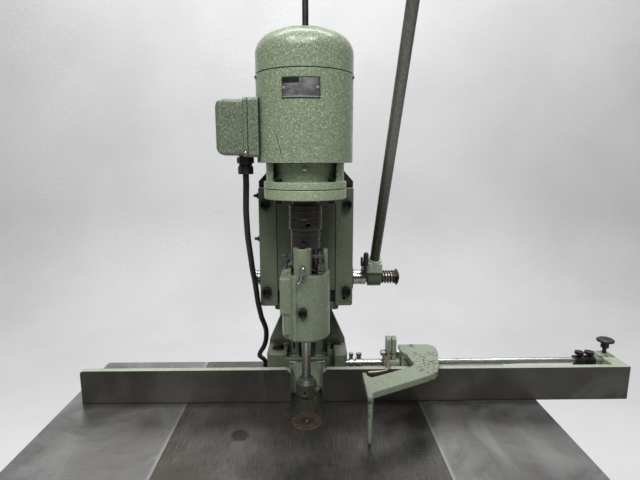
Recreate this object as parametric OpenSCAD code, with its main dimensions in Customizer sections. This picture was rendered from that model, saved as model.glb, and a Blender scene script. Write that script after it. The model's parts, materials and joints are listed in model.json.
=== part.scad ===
// Floor-standing dowel drilling machine: a vertical motor and drill head on a lever-fed slide,
// over a long planed table with a fence and a flip stop. Millimetres, +Z up, front towards -Y.
// Origin: on the floor, at the centre of the four anchor holes and on the spindle axis.

/* [Table] */
// Height of the table top above the floor
table_h = 900; // [850:10:950]
// Width of the middle table section
centre_w = 460; // [450:2:480]
// Width of the left table wing
left_wing_w = 239; // [220:1:245]
// Width of the right table wing
right_wing_w = 241; // [220:1:250]
// Front to back depth of the table
table_d = 550; // [520:10:600]
// Diameter of the wooden insert under the drill
insert_d = 60; // [50:2:70]

/* [Fence] */
// Height of the fence above the table
fence_h = 70; // [66:1:72]
// Thickness of the fence
fence_t = 12; // [10:1:12]
// Left end of the fence from the spindle axis
fence_left = 446; // [400:2:460]
// Right end of the fence from the spindle axis
fence_right = 650; // [644:2:680]
// Width of the pocket behind the spindle
pocket_w = 64; // [60:1:66]

/* [Column] */
// Width of the column
column_w = 182; // [180:1:190]
// Height of the column's head above the table
column_top = 459; // [455:1:470]
// Height of the column's foot above the table
column_base = 195; // [190:1:200]
// Width of each keeper strip
strip_w = 34; // [32:1:34]

/* [Feed] */
// Forward lean of the hand lever, in degrees from upright
lever_lean = 25; // [10:1:40]
// Length of the lever tube
lever_len = 640; // [500:10:700]

/* [Motor] */
// Diameter of the motor housing
motor_d = 159; // [156:1:160]
// Diameter of the mounting flange
flange_d = 139; // [138:1:142]

/* [Head] */
// Diameter of the head's barrel
barrel_d = 85; // [80:1:86]
// Diameter of the spindle
spindle_d = 16; // [14:1:16]
// Bore of the drill socket in the chuck
tool_bore_d = 10; // [8:1:10]

/* [Hidden] */

$fn = 64;
eps = 1;                     // how far a cutter runs past a face
slack = 0.2;                 // gap between parts that slide on each other
run_fit = 0.05;              // radial gap of a shaft in its bush or bearing

table_back = 250;            // table edge behind the spindle axis
table_mid = -7;              // middle section's centre, left of the spindle axis
table_plate = 22;
table_skirt = 62;
table_wall = 12;
seam = 0.4;
centre_left = table_mid - centre_w / 2;
centre_right = table_mid + centre_w / 2;
insert_t = 12;

anchor_x = 400;
anchor_y = 350;
anchor_d = 14;
foot_t = 16;
pedestal_w = 320;
pedestal_d = 330;
pedestal_wall = 8;
pedestal_top = table_h - table_skirt;

fence_y = 63;                // fence face behind the spindle axis
fence_back = fence_y + fence_t;
pocket_back = 98;
pocket_wall = 5;
bracket_w = 30;
bracket_back = 142;
knob_x = fence_right - 11;
knob_y = 131;
rail_y = 112;
rail_z = 61.5;
rail_r = 6.75;
rail_left = 60;
clamp_screw_z = rail_z + 22;
rail_right = fence_right - 3;

foot_pad_h = 68;
foot_base_h = 30;
foot_bolt_rows = [[172, foot_pad_h], [228, foot_base_h]];   // distance back, height of the seat

strip_front = 92;
strip_back = 104;
strip_bottom = 192;
strip_top = 426;
strip_in = column_w / 2 - strip_w;
slide_back = 118;
slide_half = 66;
gib_t = 3.8;
column_back = 205;
cap_base = strip_top;
slide_bottom = 224;
slide_top = 432;

gear_module = 3;
pinion_teeth = 24;
pitch = PI * gear_module;
pinion_r = gear_module * pinion_teeth / 2;
pinion_z = 233;
pinion_y = slide_back + 6 + pinion_r;
tooth_half = pitch / 4 - 0.25;
rack_bottom = 164;
rack_top = 276;
rack_w = 24;
channel_w = rack_w + 4;
shaft_r = 11;
bush_r = 16;
bush_out = 114;

rod_y = 140;
rod_r = 6;
rod_top = 880;
lug_z = 375;
bridge_top = column_top + 12;
spring_top = 690;

motor_r = motor_d / 2;
flange_r = flange_d / 2;
frame_z = 474;
cowl_z = 612;
cowl_top = 675;
lantern_r = 65.5;
lantern_core = 54;           // inside the ribs
motor_shaft_r = 9.5;

barrel_r = barrel_d / 2;
barrel_bottom = 169;
barrel_top = 287;
spindle_r = spindle_d / 2;
boss_x = -5;
boss_y = -29;
boss_top = 334;
clamp_z = 298;
lock_z = 225;
stud_x = 24;
stud_y = -27;

hub_x = 142;
hub_w = 28;
tube_r = 10;
hub_spring_l = 33;
stop_left = 194.5;
stop_right = 268;

box_z = 529;                 // middle of the terminal box
box_h = 92;
box_d = 90;
gland_top = 483;
gland_bottom = 455;

// Route of the motor cable, from the gland's mouth down into the table
cable_r = 5.2;
cable_end = [-98, 232, -4];
cable_points = [
    [-100, 0, 455], [-100, 0, 436], [-101, 1, 414], [-102, 4, 392], [-102, 9, 369],
    [-102, 16, 346], [-101, 25, 323], [-100, 35, 300], [-99, 46, 276], [-97, 58, 252],
    [-96, 69, 228], [-95, 79, 206], [-93, 88, 186], [-91, 102, 164], [-88, 121, 143],
    [-86, 133, 125], [-87, 142, 107], [-90, 150, 91], [-95, 158, 77], [-101, 167, 65],
    [-106, 178, 53], [-108, 191, 42], [-107, 206, 32], [-103, 220, 21], [-99, 229, 9], cable_end
];

green = [0.46, 0.53, 0.42];
dark_green = [0.27, 0.32, 0.26];
steel = [0.62, 0.62, 0.60];
dark_steel = [0.27, 0.26, 0.26];
black = [0.08, 0.08, 0.09];

// Lifts the children from the floor to the table top
module at_table() { translate([0, 0, table_h]) children(); }

// Turns a shape built along +Z to point to the front
module to_front() { rotate([90, 0, 0]) children(); }

// Turns a shape built along +Z to point to the right
module to_right() { rotate([0, 90, 0]) children(); }

// Outline of a rectangle with round corners, centred
module round_rect(w, d, r) {
    square([w - 2 * r, d], center = true);
    square([w, d - 2 * r], center = true);
    for (x = [-1, 1], y = [-1, 1]) translate([x * (w / 2 - r), y * (d / 2 - r)]) circle(r);
}

module block(x0, x1, y0, y1, z0, z1) {
    translate([x0, y0, z0]) cube([x1 - x0, y1 - y0, z1 - z0]);
}

module ring(outer, inner, h) {
    difference() {
        cylinder(r = outer, h = h);
        translate([0, 0, -eps]) cylinder(r = inner, h = h + 2 * eps);
    }
}

// Socket-head screw: seat at z = 0, shank below
module socket_screw(d, length) {
    difference() {
        cylinder(d = 1.5 * d, h = d);
        translate([0, 0, d / 2]) cylinder(d = d, h = d, $fn = 6);
    }
    translate([0, 0, -length]) cylinder(d = d, h = length);
}

// Hexagon-head bolt: seat at z = 0, shank below, washer under the head
module hex_bolt(d, length) {
    cylinder(d = 2.1 * d, h = 0.2 * d);
    translate([0, 0, 0.2 * d]) cylinder(d = 1.85 * d, h = 0.65 * d, $fn = 6);
    translate([0, 0, -length]) cylinder(d = d, h = length);
}

// Small slotted round-head screw: seat at z = 0
module round_screw(d, length) {
    difference() {
        intersection() {
            translate([0, 0, -0.45 * d]) sphere(1.1 * d);
            cylinder(r = d, h = d);
        }
        translate([-d, -0.12 * d, 0.4 * d]) cube([2 * d, 0.24 * d, d]);
    }
    translate([0, 0, -length]) cylinder(d = d, h = length);
}

// Directions along a path, and a side vector carried along it without twist
function unit(v) = v / norm(v);
function headings(p) =
    [for (i = [0:len(p) - 1]) unit(p[min(i + 1, len(p) - 1)] - p[max(i - 1, 0)])];
function carried(t, i, u) =
    i == len(t) ? [] : let (w = unit(u - (u * t[i]) * t[i])) concat([w], carried(t, i + 1, w));

// Round tube of radius r along the points of p; side is any vector across its first stretch
module tube_along(p, r, sides, side) {
    t = headings(p);
    u = carried(t, 0, side);
    n = len(p);
    points = [
        for (i = [0:n - 1]) let (v = cross(t[i], u[i]))
        for (k = [0:sides - 1]) p[i] + r * (cos(360 * k / sides) * u[i] + sin(360 * k / sides) * v)
    ];
    walls = [
        for (i = [0:n - 2], k = [0:sides - 1]) let (a = i * sides, b = (k + 1) % sides)
        [a + k, a + sides + k, a + sides + b, a + b]
    ];
    ends = [[for (k = [0:sides - 1]) k], [for (k = [sides - 1:-1:0]) (n - 1) * sides + k]];
    polyhedron(points, concat(walls, ends), convexity = 6);
}

// Compression spring standing on z = 0, with closed ends
module coil_spring(coil_r, wire_r, h, turns, steps) {
    n = turns * steps;
    rise = h - 2 * wire_r;
    p = [
        for (i = [0:n]) let (s = i / n, a = 360 * i / steps)
        [coil_r * cos(a), coil_r * sin(a), wire_r + rise * (s - 0.04 * sin(360 * s))]
    ];
    tube_along(p, wire_r, 6, [1, 0, 0]);
}

module anchor_places() {
    for (x = [-1, 1], y = [-1, 1]) translate([x * anchor_x / 2, y * anchor_y / 2, 0]) children();
}

// ---- Stand and table ----

module pedestal() color(green) {
    top_t = 16;
    difference() {
        union() {
            linear_extrude(foot_t) round_rect(anchor_x + 70, anchor_y + 70, 30);
            linear_extrude(pedestal_top) round_rect(pedestal_w, pedestal_d, 24);
            translate([0, 0, pedestal_top - top_t])
                linear_extrude(top_t) round_rect(pedestal_w + 80, pedestal_d + 80, 20);
        }
        translate([0, 0, -eps]) linear_extrude(pedestal_top - top_t + eps)
            round_rect(pedestal_w - 2 * pedestal_wall, pedestal_d - 2 * pedestal_wall, 16);
        anchor_places() translate([0, 0, -eps]) cylinder(d = anchor_d, h = foot_t + 2 * eps);
        table_bolt_places() translate([0, 0, -top_t - 2 * eps]) cylinder(r = 5.2, h = top_t + 4 * eps);
        cable_drop(pedestal_top - top_t - eps, top_t + 2 * eps);
    }
}

// Bolts that hold the table to the stand, at the stand's top
module table_bolt_places() {
    for (x = [-1, 1], y = [-1, 1]) translate([x * 180, y * 185, pedestal_top]) children();
}

// Hole that takes the motor cable down into the stand
module cable_drop(z, h) { translate([cable_end[0], cable_end[1], z]) cylinder(r = 8, h = h); }

// One cast table section from x0 to x1: plate, skirt all round and a cross rib
module table_section(x0, x1) {
    y0 = table_back - table_d;
    difference() {
        block(x0, x1, y0, table_back, table_h - table_skirt, table_h);
        for (y = [y0 + table_wall, (y0 + table_back) / 2 + table_wall / 2])
            block(x0 + table_wall, x1 - table_wall, y, y + (table_d - 3 * table_wall) / 2,
                table_h - table_skirt - eps, table_h - table_plate);
    }
}

module table_centre() color(dark_steel) difference() {
    union() {
        table_section(centre_left, centre_right);
        for (y = [-1, 1]) block(-200, 200, y * 185 - 20, y * 185 + 20, pedestal_top, table_h - 20);
    }
    translate([0, 0, table_h - insert_t]) cylinder(d = insert_d, h = insert_t + eps);
    translate([0, 0, table_h - table_plate - eps]) cylinder(d = insert_d - 14, h = table_plate);
    table_bolt_places() cylinder(r = 5.2, h = 26);
    cable_drop(pedestal_top - eps, table_skirt + 2 * eps);
    at_table() foot_bolt_holes();
    at_table() for (x = [-200, 200]) fence_bolt_place(x) translate([0, 0, -31]) cylinder(r = 4.1, h = 30);
}

module table_wing_left() color(dark_steel)
    table_section(centre_left - left_wing_w, centre_left - seam);

module table_wing_right() color(dark_steel)
    table_section(centre_right + seam, centre_right + right_wing_w);

module table_insert() color([0.55, 0.42, 0.20])
    translate([0, 0, table_h - insert_t]) cylinder(d = insert_d - 0.4, h = insert_t);

// ---- Fence and stop rail ----

module fence_bolt_place(x) { translate([x, fence_back + 17, 14]) children(); }

module fence() color(green) at_table() difference() {
    half = pocket_w / 2;
    corner = 7;
    union() {
        block(-fence_left, fence_right, fence_y, fence_back, 0, fence_h);
        block(-half - pocket_wall, half + pocket_wall, fence_y, pocket_back + pocket_wall, 0, fence_h);
        block(fence_right - bracket_w, fence_right, fence_y, bracket_back, 8, fence_h);
        for (x = [-200, 200, 440])
            block(x - 18, x + 18, fence_back - 1, fence_back + 34, 0, 14);
    }
    block(-half, half, fence_y - eps, pocket_back, -eps, fence_h + eps);
    for (side = [0, 1]) mirror([side, 0, 0])
        translate([half, pocket_back, fence_h + 0.1]) rotate([0, 45, 0])
            translate([-6, -pocket_back, -6]) cube([12, pocket_back + 1, 12]);
    translate([-fence_left, fence_y - eps, fence_h - corner]) difference() {
        translate([-eps, 0, 0]) cube([corner + eps, fence_t + 2 * eps, corner + eps]);
        translate([corner, -eps, 0]) rotate([-90, 0, 0]) cylinder(r = corner, h = fence_t + 4 * eps);
    }
    translate([rail_right - 60, rail_y, rail_z]) to_right() cylinder(r = rail_r, h = 100);
    translate([knob_x, knob_y, fence_h - 30]) cylinder(r = 4.05, h = 31);
    for (x = [-200, 200, 440]) fence_bolt_place(x) translate([0, 0, -15]) cylinder(r = 4.1, h = 16);
}

module stop_rail() color(steel) at_table()
    translate([rail_left, rail_y, rail_z]) to_right() difference() {
        cylinder(r = rail_r, h = rail_right - rail_left);
        translate([0, 0, -eps]) ring(rail_r + eps, rail_r - 1, 1 + eps);
    }

// Set collar on the rail with a knurled thumb screw on top
module rail_collar(x, w, thumb_r) {
    translate([x, rail_y, rail_z]) {
        difference() {
            to_right() ring(11, rail_r + run_fit, w);
            translate([w / 2, 0, 8]) cylinder(r = 2.1, h = 4);
        }
        translate([w / 2, 0, 8.2]) cylinder(r = 2, h = 7);
        translate([w / 2, 0, 11.2]) cylinder(r = 3.2, h = 3);
        translate([w / 2, 0, 14.2]) {
            cylinder(r = thumb_r, h = 6);
            for (a = [0:30:330]) rotate([0, 0, a]) translate([thumb_r, 0, 0]) cylinder(r = 0.7, h = 6);
        }
    }
}

module left_collars() color(black) at_table() {
    rail_collar(88, 8, 4);
    rail_collar(102, 12, 5);
}

module right_collars() color(black) at_table() {
    rail_collar(563, 20, 8);
    rail_collar(584, 20, 8.5);
}

// Mushroom knob of the screw in the fence's end bracket
module end_knob() color(black) at_table() translate([knob_x, knob_y, fence_h]) difference() {
    union() {
        translate([0, 0, -22]) cylinder(r = 4, h = 40);
        rotate_extrude() polygon([
            [0, 12], [8, 12], [8, 22], [17, 26], [17, 29.5], [14, 31.6], [9, 33.4], [0, 34.2]
        ]);
    }
    for (a = [0:24:336]) rotate([0, 0, a]) translate([18.3, 0, 20]) cylinder(r = 2, h = 15);
}

// ---- Foot and column ----

// Bolt holes through the foot and into the table
module foot_bolt_holes() {
    for (x = [-64, 64], row = foot_bolt_rows)
        translate([x, row[0], -22]) cylinder(r = 6.1, h = row[1] + 23);
}

module foot_bracket() color(green) at_table() difference() {
    web_front = 152;
    web_back = 206;
    union() {
        block(-34, 34, web_front, web_back, 20, column_base);
        translate([0, web_back, 0]) to_front() linear_extrude(12)
            polygon([
                [-36, column_base], [36, column_base], [54, 150], [85, 79], [85, 25],
                [-85, 25], [-85, 79], [-54, 150]
            ]);
        translate([0, 190, 0]) linear_extrude(foot_base_h) round_rect(174, 100, 12);
        for (x = [-1, 1])
            translate([x * 65, 176, 0]) linear_extrude(foot_pad_h) round_rect(44, 70, 8);
        translate([0, 158, 0]) linear_extrude(58) round_rect(110, 34, 4);
        for (x = [-1, 1]) translate([x * 8 - 5, 240, 0]) rotate([90, 0, 90])
            linear_extrude(10) polygon([[0, 28], [-36, 28], [-36, 180]]);
        translate([69, 126, 0]) linear_extrude(84) round_rect(26, 50, 5);
        translate([0, 153, column_base - 16]) linear_extrude(16) round_rect(130, 96, 8);
    }
    translate([0, 175, -eps]) cylinder(r = 28, h = 110);
    translate([rail_left - 10, rail_y, rail_z]) to_right() cylinder(r = rail_r, h = 40);
    foot_bolt_holes();
    for (x = [-50, 50]) translate([x, 176, column_base - 30]) cylinder(r = 5.1, h = 40);
    block(-channel_w / 2, channel_w / 2, 100, 131, column_base - 20, column_base + eps);
    pinion_chamber();
}

// Room round the pinion
module pinion_chamber() translate([-channel_w / 2, pinion_y, pinion_z]) to_right()
    cylinder(r = pinion_r + gear_module + 2, h = channel_w);

// Where the keeper strips' screws go in
module keeper_places() {
    for (x = [-1, 1], z = [223, 395])
        translate([x * (column_w / 2 - 13), strip_front, z]) to_front() children();
}

module keeper_strip(side) {
    edge = column_w / 2;
    difference() {
        union() {
            block(strip_in, edge, strip_front, strip_back, strip_bottom + 5, strip_top);
            block(strip_in + 5, edge - 5, strip_front, strip_back, strip_bottom, strip_bottom + 6);
            for (x = [strip_in + 5, edge - 5])
                translate([x, strip_back, strip_bottom + 5]) to_front()
                    cylinder(r = 5, h = strip_back - strip_front);
        }
        keeper_places() translate([0, 0, -20]) cylinder(r = 6.1, h = 40);
        if (side > 0) translate([edge - strip_w / 2, strip_back + eps, 208]) to_front()
            cylinder(r = 2.5, h = 20);
    }
}

module keeper_strip_left() color(green) at_table() mirror([1, 0, 0]) keeper_strip(-1);

module keeper_strip_right() color(green) at_table() keeper_strip(1);

module column() color(green) at_table() difference() {
    union() {
        block(-column_w / 2, column_w / 2, strip_back, column_back, column_base, cap_base);
        for (side = [0, 1]) mirror([side, 0, 0]) translate([column_w / 2 - 1, pinion_y, pinion_z])
            to_right() cylinder(r = 26, h = 7);
    }
    block(-slide_half - gib_t - 2 * slack, slide_half + slack, strip_back - eps,
        slide_back + slack, column_base - eps, cap_base + eps);
    block(-channel_w / 2, channel_w / 2, slide_back - eps, slide_back + 11, column_base - eps,
        cap_base + eps);
    block(-channel_w / 2, channel_w / 2, slide_back, rod_y + 16, lug_z - 22, cap_base + eps);
    pinion_chamber();
    translate([-200, pinion_y, pinion_z]) to_right() cylinder(r = bush_r, h = 400);
    keeper_places() translate([0, 0, -40]) cylinder(r = 6.1, h = 40);
    gib_screw_places() translate([0, 0, -eps]) cylinder(r = 3.1, h = 30);
    for (x = [-50, 50]) translate([x, 176, column_base - eps]) cylinder(r = 5.1, h = 30);
    cap_screw_places() translate([0, 0, -70]) cylinder(r = 5.1, h = 80);
}

module cap_screw_places() {
    for (x = [-62, 62]) translate([x, 178, column_top]) children();
}

// Dark head plate of the column, notched for the slide, with a bridge for the spring rod's bush
module column_cap() color(black) at_table() difference() {
    edge = column_w / 2;
    union() {
        translate([0, column_back, 0]) to_front() linear_extrude(column_back - strip_back)
            polygon([
                [-edge, cap_base], [edge, cap_base], [edge, column_top - 21],
                [edge - 19, column_top], [19 - edge, column_top], [-edge, column_top - 21]
            ]);
        block(-40, 40, slide_back + 8, 190, column_top - 1, bridge_top);
    }
    block(-slide_half - gib_t - 2 * slack, slide_half + slack, strip_back - eps,
        slide_back + slack, cap_base - eps, bridge_top + eps);
    block(-channel_w / 2, channel_w / 2, slide_back - eps, rod_y + 16, cap_base - eps, column_top);
    translate([0, rod_y, cap_base]) cylinder(r = rod_r + run_fit, h = 100);
    cap_screw_places() translate([0, 0, -70]) cylinder(r = 5.1, h = 80);
}

module gib_screw_places() {
    for (z = [240, 325, 410]) translate([-column_w / 2, strip_back + 8, z]) to_right() children();
}

module gib_strip() color([0.70, 0.55, 0.28]) at_table()
    block(-slide_half - gib_t - slack, -slide_half - slack, strip_back + 1, slide_back,
        column_base + 2, cap_base - 2);

// Grub screws that press the gib, each with its lock nut
module gib_screws() color(steel) at_table() gib_screw_places() {
    translate([0, 0, -11]) cylinder(r = 3, h = column_w / 2 - slide_half - gib_t - slack + 11);
    translate([0, 0, -5]) difference() {
        cylinder(r = 5.8, h = 5, $fn = 6);
        translate([0, 0, -eps]) cylinder(r = 3, h = 7);
    }
}

module socket_screws() color(black) at_table() {
    keeper_places() socket_screw(12, 30);
    cap_screw_places() socket_screw(10, 58);
}

module hex_bolts() color(dark_steel) {
    table_bolt_places() rotate([180, 0, 0]) translate([0, 0, 16]) hex_bolt(10, 30);
    at_table() for (x = [-64, 64], row = foot_bolt_rows)
        translate([x, row[0], row[1]]) hex_bolt(12, row[1] + 20);
    at_table() for (x = [-200, 200]) fence_bolt_place(x) hex_bolt(8, 30);
    at_table() fence_bolt_place(440) hex_bolt(8, 14);
    at_table() for (x = [-50, 50]) translate([x, 176, column_base - 16]) rotate([180, 0, 0])
        hex_bolt(10, 34);
}

module shaft_bushes() color(steel) at_table() {
    inner = channel_w / 2 + 0.5;
    translate([inner, pinion_y, pinion_z]) to_right() ring(bush_r, shaft_r + run_fit, bush_out - inner);
    translate([-102, pinion_y, pinion_z]) to_right() ring(bush_r, shaft_r + run_fit, 102 - inner);
}

// ---- Switch on the stand's front ----

module switch_box() color(dark_green) translate([0, -pedestal_d / 2, 700]) to_front() difference() {
    union() {
        linear_extrude(58) round_rect(90, 120, 10);
        translate([0, 0, 57]) linear_extrude(5) round_rect(78, 108, 6);
    }
    translate([0, 0, 30]) cylinder(r = 6.05, h = 40);
    translate([0, -38, 57]) cylinder(r = 3, h = 10);
}

module switch_knob() color(black) translate([0, -pedestal_d / 2, 700]) to_front() {
    translate([0, 0, 32]) cylinder(r = 6, h = 34);
    translate([0, 0, 63]) cylinder(r = 24, h = 6);
    translate([0, 0, 68]) linear_extrude(16) round_rect(12, 46, 5);
}

// ---- Slide and feed ----

module slide_plate() color(green) at_table() difference() {
    front_half = strip_in - 0.7;
    union() {
        block(-front_half, front_half, strip_front + 0.5, strip_back + 1, slide_bottom, slide_top);
        block(-slide_half, slide_half, strip_back + slack, slide_back, slide_bottom, slide_top);
        block(-10, 10, slide_back - 1, rod_y + 12, lug_z, lug_z + 24);
    }
    translate([0, rod_y, lug_z - eps]) cylinder(r = rod_r, h = 30);
    for (z = [235, 265]) translate([0, slide_back + 9, z]) to_front() cylinder(r = 3.1, h = 40);
}

// Rack on the slide's back; one gap faces the pinion's centre height
module feed_rack() color(dark_steel) at_table() {
    pitch_y = slide_back + 6;
    gap_y = pitch_y - 1.25 * gear_module;
    slope = tan(20);
    root = tooth_half + 1.25 * gear_module * slope;
    tip = tooth_half - gear_module * slope;
    teeth = floor((pinion_z - rack_bottom) / pitch - 0.5);
    above = floor((rack_top - pinion_z) / pitch - 0.5);
    difference() {
        union() {
            block(-rack_w / 2, rack_w / 2, slide_back, gap_y, rack_bottom, rack_top);
            for (k = [-teeth:above]) translate([-rack_w / 2, 0, pinion_z + (k - 0.5) * pitch])
                rotate([90, 0, 90]) linear_extrude(rack_w) polygon([
                    [gap_y - 0.5, -root], [gap_y, -root], [pitch_y + gear_module, -tip],
                    [pitch_y + gear_module, tip], [gap_y, root], [gap_y - 0.5, root]
                ]);
        }
        for (z = [235, 265]) translate([0, slide_back + 10, z]) to_front() cylinder(r = 3.1, h = 40);
    }
}

module spring_rod() color(black) at_table() {
    translate([0, rod_y, lug_z]) cylinder(r = rod_r, h = rod_top - lug_z);
    translate([0, rod_y, spring_top]) ring(20, rod_r, 8);
    translate([0, rod_y, spring_top + 8]) difference() {
        cylinder(r = 11, h = 9, $fn = 6);
        translate([0, 0, -eps]) cylinder(r = rod_r, h = 12);
    }
    translate([0, rod_y, rod_top]) sphere(rod_r);
}

module return_spring() color(dark_steel) at_table() translate([0, rod_y, bridge_top])
    coil_spring(14, 1.8, spring_top - bridge_top, 14, 14);

// Toothed outline of the pinion, with a tooth on +X
module gear_outline(z, m) {
    r = z * m / 2;
    root = r - 1.25 * m;
    half = tooth_half / r * 180 / PI;
    circle(root + 0.01, $fn = 96);
    for (k = [0:z - 1]) rotate(360 * k / z) polygon([
        [root - 1, 0], for (s = [[root, 1.25], [r, 1], [r + 0.93 * m, 0.55]])
            s[0] * [cos(half * s[1]), -sin(half * s[1])],
        for (s = [[r + 0.93 * m, 0.55], [r, 1], [root, 1.25]])
            s[0] * [cos(half * s[1]), sin(half * s[1])]
    ]);
}

module pinion_shaft() color(dark_steel) at_table() {
    face = rack_w - 2;
    translate([0, pinion_y, pinion_z]) {
        translate([-face / 2, 0, 0]) rotate([90, 0, 90]) linear_extrude(face)
            rotate(180) gear_outline(pinion_teeth, gear_module);
        translate([-110, 0, 0]) to_right()
            cylinder(r = shaft_r, h = 110 + hub_x + hub_w / 2 + hub_spring_l + 4.4);
        translate([-110, 0, 0]) to_right() cylinder(r = 16, h = 6);
    }
    difference() {
        shaft_collar();
        translate([bush_out + 5, pinion_y, pinion_z + 10]) cylinder(r = 3, h = 8);
    }
}

// ---- Hand lever ----

// Places children at the lever hub, with +Z along the lever
module along_lever() {
    translate([hub_x - 3, pinion_y, pinion_z]) rotate([lever_lean, 2.5, 0]) children();
}

module lever_hub() color(dark_green) at_table() difference() {
    union() {
        translate([hub_x - hub_w / 2, pinion_y, pinion_z]) to_right() cylinder(r = 18.5, h = hub_w);
        along_lever() {
            translate([0, 13, 0]) to_front() linear_extrude(26)
                polygon([[-17, 10], [20, 10], [15, 44], [-12, 44]]);
            translate([1.5, 0, 43]) cylinder(r = 13.5, h = 6);
        }
    }
    translate([hub_x + hub_w / 2, pinion_y, pinion_z]) to_right() cylinder(r = 18.5, h = 20);
    translate([0, pinion_y, pinion_z]) to_right() cylinder(r = shaft_r, h = 300);
    shaft_collar();
    along_lever() translate([0, 0, 20]) cylinder(r = tube_r, h = 40);
}

module lever_tube() color(dark_green) at_table() along_lever() translate([0, 0, 20])
    difference() {
        cylinder(r = tube_r, h = lever_len);
        translate([0, 0, 4]) cylinder(r = tube_r - 2.5, h = lever_len);
    }

module lever_knob() color(black) at_table() along_lever() translate([0, 0, 20 + lever_len]) {
    difference() {
        union() {
            cylinder(r1 = 12, r2 = 14, h = 8);
            translate([0, 0, 28]) sphere(22);
        }
        translate([0, 0, -25]) cylinder(r = tube_r, h = 25);
    }
    translate([0, 0, -18]) cylinder(r = tube_r - 2.7, h = 20);
}

// Small handled index pin beside the lever socket, on a foot that sits on the shaft's collar
module index_pin() color(black) at_table() difference() {
    translate([hub_x - 22.5, pinion_y - 36, pinion_z + 22]) {
        rotate([18, 0, 0]) {
            cylinder(r = 3, h = 14);
            translate([0, 0, 12]) cylinder(r = 5.2, h = 26);
            translate([0, 0, 38]) sphere(5.2);
        }
        translate([-9, -2, 10]) cube([4, 9, 18]);
        translate([-9, -4, 12]) cube([9, 8, 6]);
        translate([-4.5, -2, -11]) cube([6.5, 34, 13]);
    }
    shaft_collar();
}

module shaft_collar() translate([bush_out + 0.4, pinion_y, pinion_z]) to_right()
    cylinder(r = 16.5, h = 9);

module hub_spring() color([0.45, 0.27, 0.20]) at_table()
    translate([hub_x + hub_w / 2, pinion_y, pinion_z]) to_right()
        coil_spring(12.8, 1.5, hub_spring_l, 6, 18);

module spring_cap() color(black) at_table()
    translate([hub_x + hub_w / 2 + hub_spring_l, pinion_y, pinion_z]) to_right() {
        ring(17.5, shaft_r, 2);
        translate([0, 0, 2]) ring(14, shaft_r, 2.4);
        translate([0, 0, 4.4]) cylinder(r = 9, h = 2.2, $fn = 6);
    }

// ---- Motor ----

module flange_bolt_places() {
    for (a = [45:90:315]) rotate([0, 0, a]) translate([61, 0, 0]) children();
}

// Lower flange disc with the arm that ties it to the slide
module motor_bracket() color(green) at_table() difference() {
    union() {
        translate([0, 0, 415]) cylinder(r = flange_r, h = 17);
        block(-50, 50, 40, strip_front + 0.5, 415, 432);
        block(-9, 9, 36, strip_front + 0.5, 340, 416);
    }
    translate([0, 0, 410]) cylinder(r = 31.5, h = 30);
    flange_bolt_places() translate([0, 0, 410]) cylinder(r = 4.1, h = 30);
}

// Motor end shield: flange disc and lantern with open front and back panels
module motor_endshield() color(green) at_table() difference() {
    union() {
        translate([0, 0, 432]) cylinder(r = flange_r, h = 12);
        translate([0, 0, 443]) cylinder(r = lantern_core, h = frame_z - 443);
        intersection() {
            translate([0, 0, 443]) cylinder(r = lantern_r, h = frame_z - 443);
            for (x = [-1, 1]) translate([x * 63, 0, 450]) cube([26, 140, 60], center = true);
        }
    }
    translate([0, 0, 431]) cylinder(r = 23.5, h = 60);
    translate([0, 0, 450]) cylinder(r = 46, h = 25);
    flange_bolt_places() translate([0, 0, 431]) cylinder(r = 4.1, h = 30);
    translate([0, -40, 465]) to_front() cylinder(r = 2.5, h = 20);
}

module flange_bolts() color(dark_steel) at_table() flange_bolt_places() {
    translate([0, 0, 444]) cylinder(r = 6.6, h = 5, $fn = 6);
    translate([0, 0, 409]) cylinder(r = 4, h = 36);
    translate([0, 0, 409]) cylinder(r = 6.6, h = 6, $fn = 6);
}

module motor_frame() color(green) at_table() difference() {
    union() {
        translate([0, 0, frame_z]) cylinder(r = motor_r, h = cowl_z - frame_z);
        translate([0, 0, cowl_z - 1]) cylinder(r = motor_r - 3, h = 9);
    }
    translate([0, 0, frame_z + 8]) cylinder(r = motor_r - 7, h = cowl_z - frame_z);
    translate([0, 0, frame_z - eps]) cylinder(r = 52, h = 12);
    cowl_screw_places() translate([0, 0, -20]) cylinder(r = 2.1, h = 30);
}

// Screws round the housing, a little in front of and behind its sides
module cowl_screw_places() {
    for (a = [15, 165, 195, 345]) rotate([0, 0, a]) translate([motor_r, 0, cowl_z - 4.5])
        to_right() children();
}

// Laminated core with its winding heads
module stator() color([0.55, 0.36, 0.22]) at_table() {
    translate([0, 0, 505]) ring(motor_r - 7, 44, 70);
    translate([0, 0, 487]) ring(66, 50, 18);
    translate([0, 0, 575]) ring(66, 50, 18);
}

module rotor() color(dark_steel) at_table() {
    translate([0, 0, 406]) cylinder(r = motor_shaft_r, h = 262);
    translate([0, 0, 503]) cylinder(r = 43.4, h = 74);
    translate([0, 0, 495]) ring(40, 30, 8);
    translate([0, 0, 577]) ring(40, 30, 8);
}

module cooling_fan() color(black) at_table() translate([0, 0, 630]) {
    ring(16, motor_shaft_r, 30);
    ring(64, 15, 3);
    for (a = [0:45:315]) rotate([0, 0, a]) translate([15, -1.5, 2]) cube([48, 3, 24]);
}

// Domed fan cowl: a shell with a round shoulder and air slots in its top
module fan_cowl() color(green) at_table() {
    corner = 33;
    wall = 2.5;
    difference() {
        union() {
            dome(motor_r, corner, cowl_z + 0.4, cowl_top);
            translate([0, 0, cowl_top - 1]) cylinder(r = 45, h = 4);
        }
        dome(motor_r - wall, corner - wall, cowl_z - eps, cowl_top - wall);
        for (a = [0:20:340]) rotate([0, 0, a]) translate([20, -1.75, cowl_top - 10]) cube([22, 3.5, 20]);
    }
}

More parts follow.
